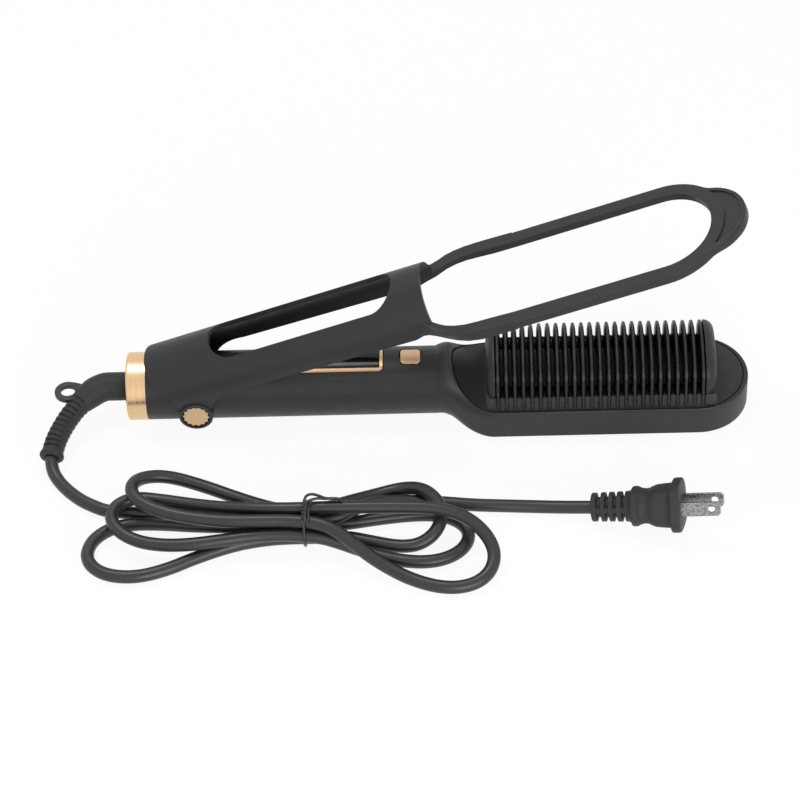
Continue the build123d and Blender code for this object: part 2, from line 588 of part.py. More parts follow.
def arm_shell():
    start = SADDLE_BACK_X - 1
    length = SADDLE_FRONT_X + 4 - start
    outer = extrude(along_x(start) * saddle_section(SADDLE_R, -9), length)
    inner = extrude(along_x(start - 5) * saddle_section(SADDLE_R - SADDLE_WALL, -12), length + 10)
    back = Spline((SADDLE_BACK_X, 30), (-13.9, 27.2), (-13, 23.4), (-10.1, 17.9), (-6.9, 13.1), (-5.4, 8), (-5.2, 5.6))
    front = Spline((10.8, 3.9), (13.8, 6.2), (18.5, SADDLE_SKIRT_Z - 0.3), (26, SADDLE_SKIRT_Z - 0.35))
    rest = Polyline((-5.2, 5.6), (0, 0), (6.6, -0.2), (10.8, 3.9))
    closing = Polyline((26, SADDLE_SKIRT_Z - 0.35), (112, SADDLE_SKIRT_FRONT_Z), (118, SADDLE_SKIRT_FRONT_Z + 1.8),
                       (SADDLE_FRONT_X, 11), (SADDLE_FRONT_X, 30), (SADDLE_BACK_X, 30))
    side = make_face([back, *rest.edges(), front, *closing.edges()])
    shell = (outer - inner) & extrude(side_plane() * side, BIG / 8, both=True)
    # The grip window in the top
    half = SLOT_HALF_WIDTH
    window = Location(((SLOT_START_X + SLOT_END_X - half) / 2, 0)) * Rectangle(SLOT_END_X - half - SLOT_START_X, 2 * half)
    window = fillet(window.vertices().group_by(Axis.X)[0], SLOT_START_R)
    window = window + Location((SLOT_END_X - half, 0)) * Circle(half)
    shell = shell - extrude(Plane(origin=(0, 0, 18)) * window, 20)
    # The loop round the comb, with its finger tab
    loop = arm_loop() + arm_neck()
    shell = shell + loop
    for side_y in (-1, 1):
        low, high = sorted((side_y * (SADDLE_R - SADDLE_WALL), side_y * BOSS_FACE_Y))
        boss = bar_y(BOSS_R, low, high)
        outer_edge = boss.edges().filter_by(GeomType.CIRCLE).sort_by(Axis.Y)[-1 if side_y > 0 else 0]
        shell = shell + chamfer(outer_edge, 0.5)
        low, high = sorted((side_y * CAP_SEAT_Y, side_y * (BOSS_FACE_Y + 1)))
        shell = shell - bar_y(CAP_REACH + CAP_CLEARANCE, low, high)
    return shell - bar_y(PIN_R + PIN_CLEARANCE, -BIG / 8, BIG / 8)


def arm_loop():
    def stadium(half_width):
        straight = Location(((NECK_END_X + LOOP_END_X) / 2, 0)) * Rectangle(LOOP_END_X - NECK_END_X, 2 * half_width)
        return straight + Location((LOOP_END_X, 0)) * Circle(half_width)
    outline = stadium(LOOP_HALF_WIDTH) + Location((TAB_X, 0)) * Circle(TAB_R)
    corners = outline.vertices().filter_by_position(Axis.X, TAB_X - 12, TAB_X + 12)
    outline = fillet(corners, TAB_BLEND)
    hole = stadium(LOOP_INNER_HALF_WIDTH) + Location((NECK_END_X - 1, 0)) * Rectangle(6, 2 * LOOP_INNER_HALF_WIDTH)
    loop = extrude(Plane(origin=(0, 0, LOOP_BOTTOM_Z)) * outline, LOOP_TOP_Z - LOOP_BOTTOM_Z)
    rims = loop.edges().filter_by_position(Axis.X, NECK_END_X + 0.1, BIG).group_by(Axis.Z)
    loop = fillet(rims[0] + rims[-1], LOOP_EDGE)
    loop = loop - extrude(Plane(origin=(0, 0, LOOP_BOTTOM_Z - 1)) * hole, LOOP_TOP_Z)
    # The rails' underside rises to a thinner inner edge
    inner_y = LOOP_INNER_HALF_WIDTH - 1
    heel_y = LOOP_HALF_WIDTH - LOOP_HEEL
    low = LOOP_BOTTOM_Z - 1
    rise = along_x(NECK_END_X) * make_face(Polyline((inner_y, low), (heel_y, low), (heel_y, LOOP_BOTTOM_Z),
                                                    (LOOP_INNER_HALF_WIDTH, LOOP_INNER_Z), (inner_y, LOOP_INNER_Z), close=True))
    length = LOOP_END_X - NECK_END_X
    bend = revolve(Location((length, 0, 0)) * rise, Axis((LOOP_END_X, 0, 0), (0, 0, 1)), -180)
    rails = extrude(rise, length)
    loop = loop - rails - mirror(rails, about=Plane.XZ) - bend
    panel = Location((TAB_X, 0)) * Circle(TAB_R - TAB_RIM) - Location((LOOP_END_X, 0)) * Circle(LOOP_HALF_WIDTH - 0.5)
    return loop - extrude(Plane(origin=(0, 0, LOOP_TOP_Z - TAB_RECESS)) * panel, TAB_RECESS + 1)


def arm_neck():
    """The two necks between the saddle's sides and the loop's rails."""
    sections = []
    for x, *corners in NECK_SECTIONS:
        sections.append(along_x(x) * make_face(Polyline(*corners, close=True)))
    neck = loft(sections, ruled=True)
    return neck + mirror(neck, about=Plane.XZ)


def pivot_cap(side_y):
    outline = Circle(CAP_R)
    for n in range(SCALLOPS):
        turn = 2 * pi * n / SCALLOPS
        reach = CAP_REACH - SCALLOP_R
        outline = outline + Location((reach * cos(turn), reach * sin(turn))) * Circle(SCALLOP_R)
    disc = Plane(origin=(0, side_y * CAP_SEAT_Y, 0), x_dir=(1, 0, 0), z_dir=(0, side_y, 0)) * outline
    return opened(extrude(disc, CAP_FACE_Y - CAP_SEAT_Y))


def torsion_spring():
    height = SPRING_TURNS * SPRING_PITCH
    coil_path = Helix(SPRING_PITCH, height, SPRING_R)
    section = Plane(origin=coil_path @ 0, z_dir=coil_path % 0) * RegularPolygon(SPRING_WIRE / 2, 6)
    coil = sweep(section, path=coil_path, is_frenet=True)
    wire = SPRING_WIRE / 2
    low = Plane(origin=(SPRING_R, 0.7, 0), z_dir=(0, -1, 0)) * RegularPolygon(wire * 1.04, 8)
    high = Plane(origin=(SPRING_R, -0.7, height), z_dir=(0, 1, 0)) * RegularPolygon(wire * 1.04, 8)
    spring = coil + extrude(low, SPRING_LEG) + extrude(high, SPRING_LEG)
    return Location((0, height / 2, HINGE_Z)) * (Rotation(90, 0, 0) * spring)


# Cord

# Where the moulded relief's centre line runs, read from the photograph
RELIEF_ROUTE = [(-42.5, 0, 0), (-46, -1.4, 0), (-50, -5, -0.6), (-54.6, -10, -2), (-58.6, -15.4, -3.6), (-62.4, -22.6, -5.6),
                (-65, -29.8, -7.6), (-65.8, -36, -9)]

# Heights above the table, the first two numbers being X and Y, all read from the photograph
LEAD_ROUTE = [(-65.8, -36, 6.6), (-65.4, -41, 4.6), (-62.2, -47, 3.2), (-57, -53.6, 3.1), (-50.6, -59.6, 3.1), (-44, -63.6, 3.1)]
HANK_ROUTE = [
    (-44, -63.6, 3.1), (-38.5, -66.3, 3.1), (-28.5, -67.4, 3.1), (-13, -70, 3.1), (1, -74, 3.1),
    (19, -77.4, 3.1), (35, -78.5, 3.2), (44, -78.6, 3.7), (60, -78.1, 3.5), (70, -76.8, 3.1),
    (84, -74.2, 3.1), (100, -72.3, 3.1), (112, -73, 3.1), (120.5, -77.4, 3.1), (124.6, -84.8, 3.1),
    (121.6, -93.4, 3.1), (113, -99.4, 3.1), (101, -100.8, 3.1), (87, -97.6, 3.1), (75, -93.2, 4.2),
    (66, -90.8, 6.6), (58, -89.3, 8.6), (44, -88.4, 9.6), (30, -88.8, 9.6), (15, -91.1, 9.6),
    (2, -92.9, 9.4), (-10, -92.4, 8.4), (-22, -89.9, 8.2), (-31.5, -84.6, 9.3), (-35.9, -76, 9.7),
    (-33.4, -68.6, 9.7), (-25.6, -64.4, 9.7), (-14, -66.2, 9.7), (0, -69.8, 10.2), (14, -73.6, 11.8),
    (28, -76.7, 14.3), (44, -78.5, 15.4), (60, -78.7, 16.2), (76, -79, 16.3), (94, -79.4, 16.4),
    (110, -80.4, 16.4), (122, -83.8, 14.8), (131, -90.6, 11.4), (135.6, -99.6, 7.8), (133.4, -108.8, 5),
    (125.5, -114.8, 3.4), (113, -116, 3.1), (98, -110.8, 3.5), (84, -102.8, 6.2), (74, -96.2, 10.4),
    (66, -90.8, 13.9), (58, -86.8, 15.1), (44, -85.1, 15.3), (30, -85.3, 15.6), (14, -84.9, 15.6),
    (-4, -81.4, 15.4), (-16, -77, 15.8), (-24.4, -71.2, 16.4), (-27, -63.6, 16.4), (-22.6, -56.2, 14.2),
    (-11, -52.6, 10.8), (6, -57, 7.8), (20, -63.4, 7), (34, -70.4, 8), (45, -74.7, 9.3),
    (60, -72.6, 8.6), (70, -66, 5.6), (82, -60.4, 3.6), (94, -57.8, 5), (103, -61.4, 8.8),
    (109.8, -69, 10), (112.6, -78.4, 9.8), (109.6, -86.8, 7), (102, -91.2, 4), (92.5, -91.2, 3.1),
    (81, -88, 3.1), (70, -84.9, 3.1), (60, -84.8, 3.3), (44, -85.1, 3.7), (34, -85.2, 3.1),
    (20, -88, 3.1), (4, -94.6, 3.1), (-10, -102.2, 3.1), (-24, -106.2, 3.1), (-38, -104, 3.1),
    (-45.8, -95.6, 3.1), (-44.8, -85.2, 3.1), (-37.5, -77.4, 3.1), (-27, -74.4, 3.2), (-13, -76.6, 5.2),
    (2, -80.4, 7.6), (18, -82.6, 9), (34, -81.9, 9.5), (44, -81.8, 9.6), (60, -81, 9.6),
    (68, -77.6, 9.6), (76, -71.8, 9), (84, -66.8, 6.4), (93, -64.6, 3.8), (104, -64.5, 3.1),
    (114, -65.6, 3.1), (126, -67.3, 3.1), (142, -68.3, 3.1),
]
TAIL_ROUTE = [(142, -68.3, 3.1), (155, -69.2, 3.2), (167, -71, 4.4)]
PLUG_START = (179.0, -73.4, 6.75)
PLUG_YAW = -7.9
PLUG_TILT = 9.0
LEAD_ARCS = 8
HANK_ARCS = 80
TAIL_ARCS = 6
TIE_X = 52.0
TIE_WIDTH = 2.0
TIE_CLEARANCE = 0.3
TIE_THICKNESS = 0.5


def on_table(points):
    return [Vector(x, y, height + FLOOR_Z) for x, y, height in points]


def cord_tube(path):
    """A cord along a path, with a flat-sided section."""
    section = Plane(origin=path @ 0, z_dir=path % 0) * RegularPolygon(CORD_D / 2, CORD_SIDES)
    return sweep(section, path=path)


def tangent_arcs(path, count):
    """The path again as pairs of arcs, each pair meeting its neighbours without a kink."""
    arcs = []
    for n in range(count):
        start, finish = path @ (n / count), path @ ((n + 1) / count)
        leaving, arriving = path % (n / count), path % ((n + 1) / count)
        chord = finish - start
        along = chord.dot(leaving + arriving)
        spread = 2 * (1 - leaving.dot(arriving))
        reach = chord.length / 2
        if spread > 1e-9:
            reach = (sqrt(along ** 2 + spread * chord.dot(chord)) - along) / spread
        middle = (start + finish + (leaving - arriving) * reach) * 0.5
        arcs.append(Edge.make_tangent_arc(start, leaving, middle))
        last = Edge.make_tangent_arc(finish, arriving * -1, middle)
        arcs.append(Edge.make_three_point_arc(middle, last @ 0.5, finish))
    return Wire(arcs)


def strain_relief(path):
    core = sweep(Plane(origin=path @ 0, z_dir=path % 0) * RegularPolygon(RELIEF_CORE_R, 12), path=tangent_arcs(path, 6))
    relief = core + bar_x(RELIEF_TRUNK_R, (path @ 0).X, RING_BACK_X + CAP_DISC + 0.2)
    relief = relief + bar_x(RELIEF_TRUNK_R + 2.5, RING_BACK_X + CAP_DISC + FIT / 2, RING_BACK_X + CAP_DISC + 1.6)
    for n in range(RELIEF_RIBS + 1):
        share = 0.16 + 0.84 * n / RELIEF_RIBS
        thickness = RELIEF_RIB_THICKNESS * (1.3 if n == RELIEF_RIBS else 1)
        back = thickness if n == RELIEF_RIBS else thickness / 2
        disc = Plane(origin=(path @ share) - (path % share) * back, z_dir=path % share) * Circle(RELIEF_TIP_R)
        relief = relief + extrude(disc, thickness)
    neck = Plane(origin=(path @ 0) + (path % 0) * -0.2, z_dir=path % 0)
    taper = loft([neck * Circle(RELIEF_TRUNK_R), Plane(origin=path @ 0.1, z_dir=path % 0.1) * Circle(RELIEF_TIP_R)])
    ring = Location((-60, -3.1, 0)) * Circle(EYE_R) + Location((-55, -4.6)) * Rectangle(11, 2 * EYE_R)
    eye = extrude(Plane(origin=(0, 0, -EYE_THICKNESS / 2)) * ring, EYE_THICKNESS)
    eye = eye - bar_z(EYE_BORE_R, -BIG / 8, BIG / 8, -60, -3.1)
    return relief + taper + eye


def plug_pieces(place):
    body = bar_x(6.55, 0, 3.1)
    body = body + bar_x(4.6, 0, 19)
    for n in range(3):
        body = body + bar_x(6.5, 4.9 + 3.9 * n, 7.1 + 3.9 * n)
    collar = loft([along_x(16.2) * RectangleRounded(17, 15, 7), along_x(18.4) * RectangleRounded(20.2, 17, 8),
                   along_x(21) * RectangleRounded(20.2, 17, 8)])
    waist = bar_x(7, 20, 24)
    shell = loft([along_x(23) * RectangleRounded(16.5, 15, 7), along_x(26) * RectangleRounded(18.5, 17, 7.5),
                  along_x(36.2) * RectangleRounded(19.5, 18, 8)])
    flange = extrude(along_x(PLUG_LENGTH - PLUG_FLANGE) * RectangleRounded(PLUG_FLANGE_WIDTH, PLUG_FLANGE_HEIGHT, 9.5),
                     PLUG_FLANGE)
    flange = fillet(flange.edges().group_by(Axis.X)[0], 1.5)
    body = body + collar + waist + shell + flange
    blades = []
    for y in (-BLADE_SPACING / 2, BLADE_SPACING / 2):
        blade = block(PLUG_LENGTH - 6, PLUG_LENGTH + BLADE_LENGTH, y - BLADE_THICKNESS / 2, y + BLADE_THICKNESS / 2,
                      -BLADE_WIDTH / 2, BLADE_WIDTH / 2)
        tip = blade.edges().filter_by(Axis.Y).group_by(Axis.X)[-1]
        blade = chamfer(tip, 1.2)
        blade = blade - bar_y(BLADE_HOLE_R, y - 2, y + 2, PLUG_LENGTH + BLADE_LENGTH - 4, 0)
        blades.append(blade)
        body = body - block(PLUG_LENGTH - 6, PLUG_LENGTH + 1, y - BLADE_THICKNESS / 2, y + BLADE_THICKNESS / 2,
                            -BLADE_WIDTH / 2, BLADE_WIDTH / 2)
    return place * body, place * (blades[0] + blades[1])


PLUG_PLACE = (PLUG_START[0], PLUG_START[1], PLUG_START[2] + FLOOR_Z)


def twist_tie(path):
    """A flat wire round the bundle's seven strands, with its twisted ends on top."""
    steps = 4000
    crossings = []
    last = path @ 0
    for n in range(1, steps + 1):
        point = path @ (n / steps)
        for x in (TIE_X - TIE_WIDTH / 2, TIE_X, TIE_X + TIE_WIDTH / 2):
            if (last.X - x) * (point.X - x) <= 0:
                crossings.append(point)
        last = point
    def hull(radius):
        rounds = [Location((p.Y, p.Z)) * Circle(radius) for p in crossings]
        edges = ShapeList([edge for disc in rounds for edge in disc.edges()])
        return make_hull(edges)
    inside = CORD_D / 2 + TIE_CLEARANCE
    band = hull(inside + TIE_THICKNESS) - hull(inside)
    tie = extrude(along_x(TIE_X - TIE_WIDTH / 2) * band, TIE_WIDTH)
    top = max(p.Z for p in crossings) + inside + TIE_THICKNESS
    twist = Spline((TIE_X + 0.4, -87.6, top - 0.2), (TIE_X + 0.2, -84.8, top + 0.6), (TIE_X, -81, top + 0.7),
                   (TIE_X - 0.4, -77, top + 0.7))
    tail = Spline((TIE_X - 0.4, -77.4, top + 0.6), (TIE_X + 1, -74.6, top + 1), (TIE_X + 5, -73.6, top + 1),
                  (TIE_X + 10, -75.6, top + 0.8), (TIE_X + 18, -76.2, top + 0.6))
    return tie + wire_tube(tangent_arcs(twist, 3), 0.95, 8) + wire_tube(tangent_arcs(tail, 6), 0.6, 6)


def wire_tube(path, radius, sides):
    return sweep(Plane(origin=path @ 0, z_dir=path % 0) * RegularPolygon(radius, sides), path=path)


def lead_wires():
    made = []
    forward = ((1, 0, 0), (1, 0, 0))
    for y in (-1, 1):
        mains = Spline((RING_BACK_X + CAP_DISC + 1.7, 2.5 * y, 0), (-20, 4.6 * y, -6.5), (-6, 6.2 * y, -9.5),
                       (22, 6.4 * y, -9.5), (36, 6 * y, -4), (41.5, 6 * y, BOARD_Z - WIRE_R - 0.1), tangents=forward)
        feed = Spline((BOARD_END_X - 2, 5 * y, BOARD_Z - WIRE_R - 0.1), (114, 5 * y, 1), (125, 6.4 * y, -4),
                      (MIDDLE_X - PTC_LENGTH / 2 - 0.1, 6.4 * y, HEATER_BACK_Z - PTC_THICKNESS / 2), tangents=forward)
        made.append(wire_tube(tangent_arcs(mains, WIRE_ARCS), WIRE_R, 6))
        made.append(wire_tube(tangent_arcs(feed, WIRE_ARCS), WIRE_R, 6))
    return made[0] + made[1:]


def stack(length, half_width, low, high):
    return block(MIDDLE_X - length / 2, MIDDLE_X + length / 2, -half_width, half_width, low, high)


front_half, back_half = housing_halves()
save("housing_front", front_half)
save("housing_back", back_half)
save("comb_cover", comb_cover())
save("heater_comb", heater_comb())
save("ptc_heater", stack(PTC_LENGTH, PTC_HALF_WIDTH, HEATER_BACK_Z - PTC_THICKNESS, HEATER_BACK_Z))
save("pressure_plate", stack(PTC_LENGTH, PTC_HALF_WIDTH + 0.5, BRACKET_TOP_Z, HEATER_BACK_Z - PTC_THICKNESS))
save("heater_bracket", stack(PTC_LENGTH + 5, BRACKET_HALF_WIDTH, BRACKET_Z, BRACKET_TOP_Z))
save("thermal_fuse", bar_y(FUSE_R, -FUSE_LENGTH / 2, FUSE_LENGTH / 2, HEATER_END_X - 3.5, HEATER_BACK_Z - FUSE_R))
save("thermistor", bar_y(1.5, -3, 3, HEATER_START_X + 3.2, HEATER_BACK_Z - 1.5))
save("housing_screws", screws())
save("end_ring", pierced_ring())
save("end_cap", end_cap())
window_frame, window_lens, window_module = display_pieces()
save("display_frame", window_frame)
save("display_lens", window_lens)
save("display_module", window_module)
save("control_board", block(BOARD_START_X, BOARD_END_X, -BOARD_HALF_WIDTH, BOARD_HALF_WIDTH, BOARD_Z, BOARD_TOP_Z))
save("tact_switch", tact_switch())
save("power_button", power_button())
save("lead_wires", lead_wires())
save("torsion_spring", torsion_spring())
save("arm_shell", opened(arm_shell()))
save("hinge_pin", opened(bar_y(PIN_R, FIT / 2 - CAP_SEAT_Y, CAP_SEAT_Y - FIT / 2)))
save("pivot_cap_near", pivot_cap(-1))
save("pivot_cap_far", pivot_cap(1))
relief_route = [Vector(*point) for point in RELIEF_ROUTE]
relief_path = Spline(*relief_route, tangents=((-1, 0, 0), (relief_route[-1] - relief_route[-2]).normalized()))
save("strain_relief", strain_relief(relief_path))
hank_path = Spline(*on_table(HANK_ROUTE))
lead_path = Spline(*on_table(LEAD_ROUTE), tangents=(relief_path % 1, hank_path % 0))
plug_place = Location(PLUG_PLACE) * Rotation(0, 0, PLUG_YAW) * Rotation(0, -PLUG_TILT, 0) * Rotation(-PLUG_ROLL, 0, 0)
plug_heading = (plug_place * Vertex(1, 0, 0)).center() - Vector(*PLUG_PLACE)
tail_path = Spline(*on_table([*TAIL_ROUTE, PLUG_START]), tangents=(hank_path % 1, plug_heading))
save("cord_lead", cord_tube(tangent_arcs(lead_path, LEAD_ARCS)))
save("cord_hank", cord_tube(tangent_arcs(hank_path, HANK_ARCS)))
save("cord_tail", cord_tube(tangent_arcs(tail_path, TAIL_ARCS)))
plug_body, plug_blades = plug_pieces(plug_place)
save("plug_body", plug_body)
save("plug_blades", plug_blades)
save("twist_tie", twist_tie(hank_path))
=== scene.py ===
"""Looks of the clamp-arm hair straightening brush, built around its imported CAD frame, in metres.

Points that part.py also has are given in its own lengthways frame, whose X = 0 is the arm's hinge.  `placed`
moves such a point to the table frame that every object here is in.
"""
import bmesh
import bpy
import json
from math import cos, pi, radians, sin
from mathutils import Matrix, Vector


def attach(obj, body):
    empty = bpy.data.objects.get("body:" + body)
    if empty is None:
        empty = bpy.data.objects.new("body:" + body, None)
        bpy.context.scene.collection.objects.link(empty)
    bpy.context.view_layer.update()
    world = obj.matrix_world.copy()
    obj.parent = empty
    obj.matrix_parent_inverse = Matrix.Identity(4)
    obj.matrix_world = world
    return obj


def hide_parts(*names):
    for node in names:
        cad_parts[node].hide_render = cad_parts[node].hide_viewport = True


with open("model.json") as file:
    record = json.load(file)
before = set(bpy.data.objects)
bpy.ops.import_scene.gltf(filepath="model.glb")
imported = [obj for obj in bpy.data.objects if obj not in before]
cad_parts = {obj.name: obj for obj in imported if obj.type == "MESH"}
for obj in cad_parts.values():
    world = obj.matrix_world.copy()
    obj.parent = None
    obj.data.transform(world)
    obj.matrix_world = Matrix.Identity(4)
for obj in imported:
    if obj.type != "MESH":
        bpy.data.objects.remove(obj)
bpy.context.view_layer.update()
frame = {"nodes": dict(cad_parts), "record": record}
nodes = frame["nodes"]
bodies = frame["record"]["behaviour"]["bodies"]
body_of_node = {node: body for body, members in bodies.items() for node in members}
slot_of_node = {part["node"]: part["material_slot"] for part in frame["record"]["subparts"]}

MM = 0.001
SHIFT_X = -0.110675        # from part.py's own X to the table frame's
AXIS_HEIGHT = 0.0156       # the handle's axis above the table
CORD_D = 0.006


def placed(x, y, z):
    """A point whose height is measured from the handle's axis, as in part.py."""
    return Vector((x + SHIFT_X, y, z + AXIS_HEIGHT))


def on_table(x, y, height):
    """A point whose height is measured from the table."""
    return Vector((x + SHIFT_X, y, height))


# Camera

LENS = 135.0                # with the sensor's width, in millimetres
SENSOR_WIDTH = 36.0
CAMERA_TARGET = Vector((-0.01724, -0.01289, 0.0156))
CAMERA_DISTANCE = 1.37217
CAMERA_ELEVATION = radians(45.777)
CAMERA_AZIMUTH = radians(2.468)
CAMERA_ROLL = radians(3.059)


def make_camera():
    """The camera from which the photograph was taken, as far as its outlines tell."""
    data = bpy.data.cameras.new("camera")
    data.lens = LENS
    data.sensor_width = SENSOR_WIDTH
    data.clip_start = 0.05
    data.clip_end = 50.0
    camera = bpy.data.objects.new("camera", data)
    bpy.context.scene.collection.objects.link(camera)
    level = cos(CAMERA_ELEVATION)
    ahead = Vector((-sin(CAMERA_AZIMUTH) * level, cos(CAMERA_AZIMUTH) * level, -sin(CAMERA_ELEVATION)))
    right = Vector((cos(CAMERA_AZIMUTH), sin(CAMERA_AZIMUTH), 0.0))
    up = right.cross(ahead)
    turned_right = cos(CAMERA_ROLL) * right - sin(CAMERA_ROLL) * up
    turned_up = sin(CAMERA_ROLL) * right + cos(CAMERA_ROLL) * up
    turn = Matrix((turned_right, turned_up, -ahead)).transposed().to_4x4()
    camera.matrix_world = Matrix.Translation(CAMERA_TARGET - ahead * CAMERA_DISTANCE) @ turn
    bpy.context.scene.camera = camera


make_camera()


# Cord routes, the same points as in part.py

CORD_ROUTE = [
    (-0.0658, -0.0360, 0.0066), (-0.0654, -0.0410, 0.0046), (-0.0622, -0.0470, 0.0032),
    (-0.0570, -0.0536, 0.0031), (-0.0506, -0.0596, 0.0031), (-0.0440, -0.0636, 0.0031),
    (-0.0385, -0.0663, 0.0031), (-0.0285, -0.0674, 0.0031), (-0.0130, -0.0700, 0.0031),
    (0.0010, -0.0740, 0.0031), (0.0190, -0.0774, 0.0031), (0.0350, -0.0785, 0.0032),
    (0.0440, -0.0786, 0.0037), (0.0600, -0.0781, 0.0035), (0.0700, -0.0768, 0.0031),
    (0.0840, -0.0742, 0.0031), (0.1000, -0.0723, 0.0031), (0.1120, -0.0730, 0.0031),
    (0.1205, -0.0774, 0.0031), (0.1246, -0.0848, 0.0031), (0.1216, -0.0934, 0.0031),
    (0.1130, -0.0994, 0.0031), (0.1010, -0.1008, 0.0031), (0.0870, -0.0976, 0.0031),
    (0.0750, -0.0932, 0.0042), (0.0660, -0.0908, 0.0066), (0.0580, -0.0893, 0.0086),
    (0.0440, -0.0884, 0.0096), (0.0300, -0.0888, 0.0096), (0.0150, -0.0911, 0.0096),
    (0.0020, -0.0929, 0.0094), (-0.0100, -0.0924, 0.0084), (-0.0220, -0.0899, 0.0082),
    (-0.0315, -0.0846, 0.0093), (-0.0359, -0.0760, 0.0097), (-0.0334, -0.0686, 0.0097),
    (-0.0256, -0.0644, 0.0097), (-0.0140, -0.0662, 0.0097), (0.0000, -0.0698, 0.0102),
    (0.0140, -0.0736, 0.0118), (0.0280, -0.0767, 0.0143), (0.0440, -0.0785, 0.0154),
    (0.0600, -0.0787, 0.0162), (0.0760, -0.0790, 0.0163), (0.0940, -0.0794, 0.0164),
    (0.1100, -0.0804, 0.0164), (0.1220, -0.0838, 0.0148), (0.1310, -0.0906, 0.0114),
    (0.1356, -0.0996, 0.0078), (0.1334, -0.1088, 0.0050), (0.1255, -0.1148, 0.0034),
    (0.1130, -0.1160, 0.0031), (0.0980, -0.1108, 0.0035), (0.0840, -0.1028, 0.0062),
    (0.0740, -0.0962, 0.0104), (0.0660, -0.0908, 0.0139), (0.0580, -0.0868, 0.0151),
    (0.0440, -0.0851, 0.0153), (0.0300, -0.0853, 0.0156), (0.0140, -0.0849, 0.0156),
    (-0.0040, -0.0814, 0.0154), (-0.0160, -0.0770, 0.0158), (-0.0244, -0.0712, 0.0164),
    (-0.0270, -0.0636, 0.0164), (-0.0226, -0.0562, 0.0142), (-0.0110, -0.0526, 0.0108),
    (0.0060, -0.0570, 0.0078), (0.0200, -0.0634, 0.0070), (0.0340, -0.0704, 0.0080),
    (0.0450, -0.0747, 0.0093), (0.0600, -0.0726, 0.0086), (0.0700, -0.0660, 0.0056),
    (0.0820, -0.0604, 0.0036), (0.0940, -0.0578, 0.0050), (0.1030, -0.0614, 0.0088),
    (0.1098, -0.0690, 0.0100), (0.1126, -0.0784, 0.0098), (0.1096, -0.0868, 0.0070),
    (0.1020, -0.0912, 0.0040), (0.0925, -0.0912, 0.0031), (0.0810, -0.0880, 0.0031),
    (0.0700, -0.0849, 0.0031), (0.0600, -0.0848, 0.0033), (0.0440, -0.0851, 0.0037),
    (0.0340, -0.0852, 0.0031), (0.0200, -0.0880, 0.0031), (0.0040, -0.0946, 0.0031),
    (-0.0100, -0.1022, 0.0031), (-0.0240, -0.1062, 0.0031), (-0.0380, -0.1040, 0.0031),
    (-0.0458, -0.0956, 0.0031), (-0.0448, -0.0852, 0.0031), (-0.0375, -0.0774, 0.0031),
    (-0.0270, -0.0744, 0.0032), (-0.0130, -0.0766, 0.0052), (0.0020, -0.0804, 0.0076),
    (0.0180, -0.0826, 0.0090), (0.0340, -0.0819, 0.0095), (0.0440, -0.0818, 0.0096),
    (0.0600, -0.0810, 0.0096), (0.0680, -0.0776, 0.0096), (0.0760, -0.0718, 0.0090),
    (0.0840, -0.0668, 0.0064), (0.0930, -0.0646, 0.0038), (0.1040, -0.0645, 0.0031),
    (0.1140, -0.0656, 0.0031), (0.1260, -0.0673, 0.0031), (0.1420, -0.0683, 0.0031),
    (0.1550, -0.0692, 0.0032), (0.1670, -0.0710, 0.0044), (0.1790, -0.0734, 0.0067),
]
RELIEF_ROUTE = [
    (-0.0425, 0.0000, 0.0000), (-0.0460, -0.0014, 0.0000), (-0.0500, -0.0050, -0.0006),
    (-0.0546, -0.0100, -0.0020), (-0.0586, -0.0154, -0.0036), (-0.0624, -0.0226, -0.0056),
    (-0.0650, -0.0298, -0.0076), (-0.0658, -0.0360, -0.0090),
]


def nurbs(name, points, radius=0.0, resolution=12):
    """A smooth open curve with these control points, as a round wire where it has a radius."""
    data = bpy.data.curves.new(name, "CURVE")
    data.dimensions = "3D"
    data.resolution_u = resolution
    data.bevel_depth = radius
    data.bevel_resolution = 5
    data.use_fill_caps = True
    spline = data.splines.new("NURBS")
    spline.points.add(len(points) - 1)
    for control, point in zip(spline.points, points):
        control.co = (*point, 1.0)
    spline.order_u = 3
    spline.use_endpoint_u = True
    curve = bpy.data.objects.new(name, data)
    bpy.context.scene.collection.objects.link(curve)
    return curve


def centreline(points, resolution=24):
    """Points along the curve that `nurbs` draws through the same control points."""
    probe = nurbs("probe", points, resolution=resolution)
    bpy.context.view_layer.update()
    mesh = bpy.data.meshes.new_from_object(probe)
    line = [vertex.co.copy() for vertex in mesh.vertices]
    bpy.data.objects.remove(probe)
    bpy.data.meshes.remove(mesh)
    return line


# Materials

MIX_COLORS = (6, 7)             # sockets of a Mix node that mixes colours
MIX_COLOR_RESULT = 2


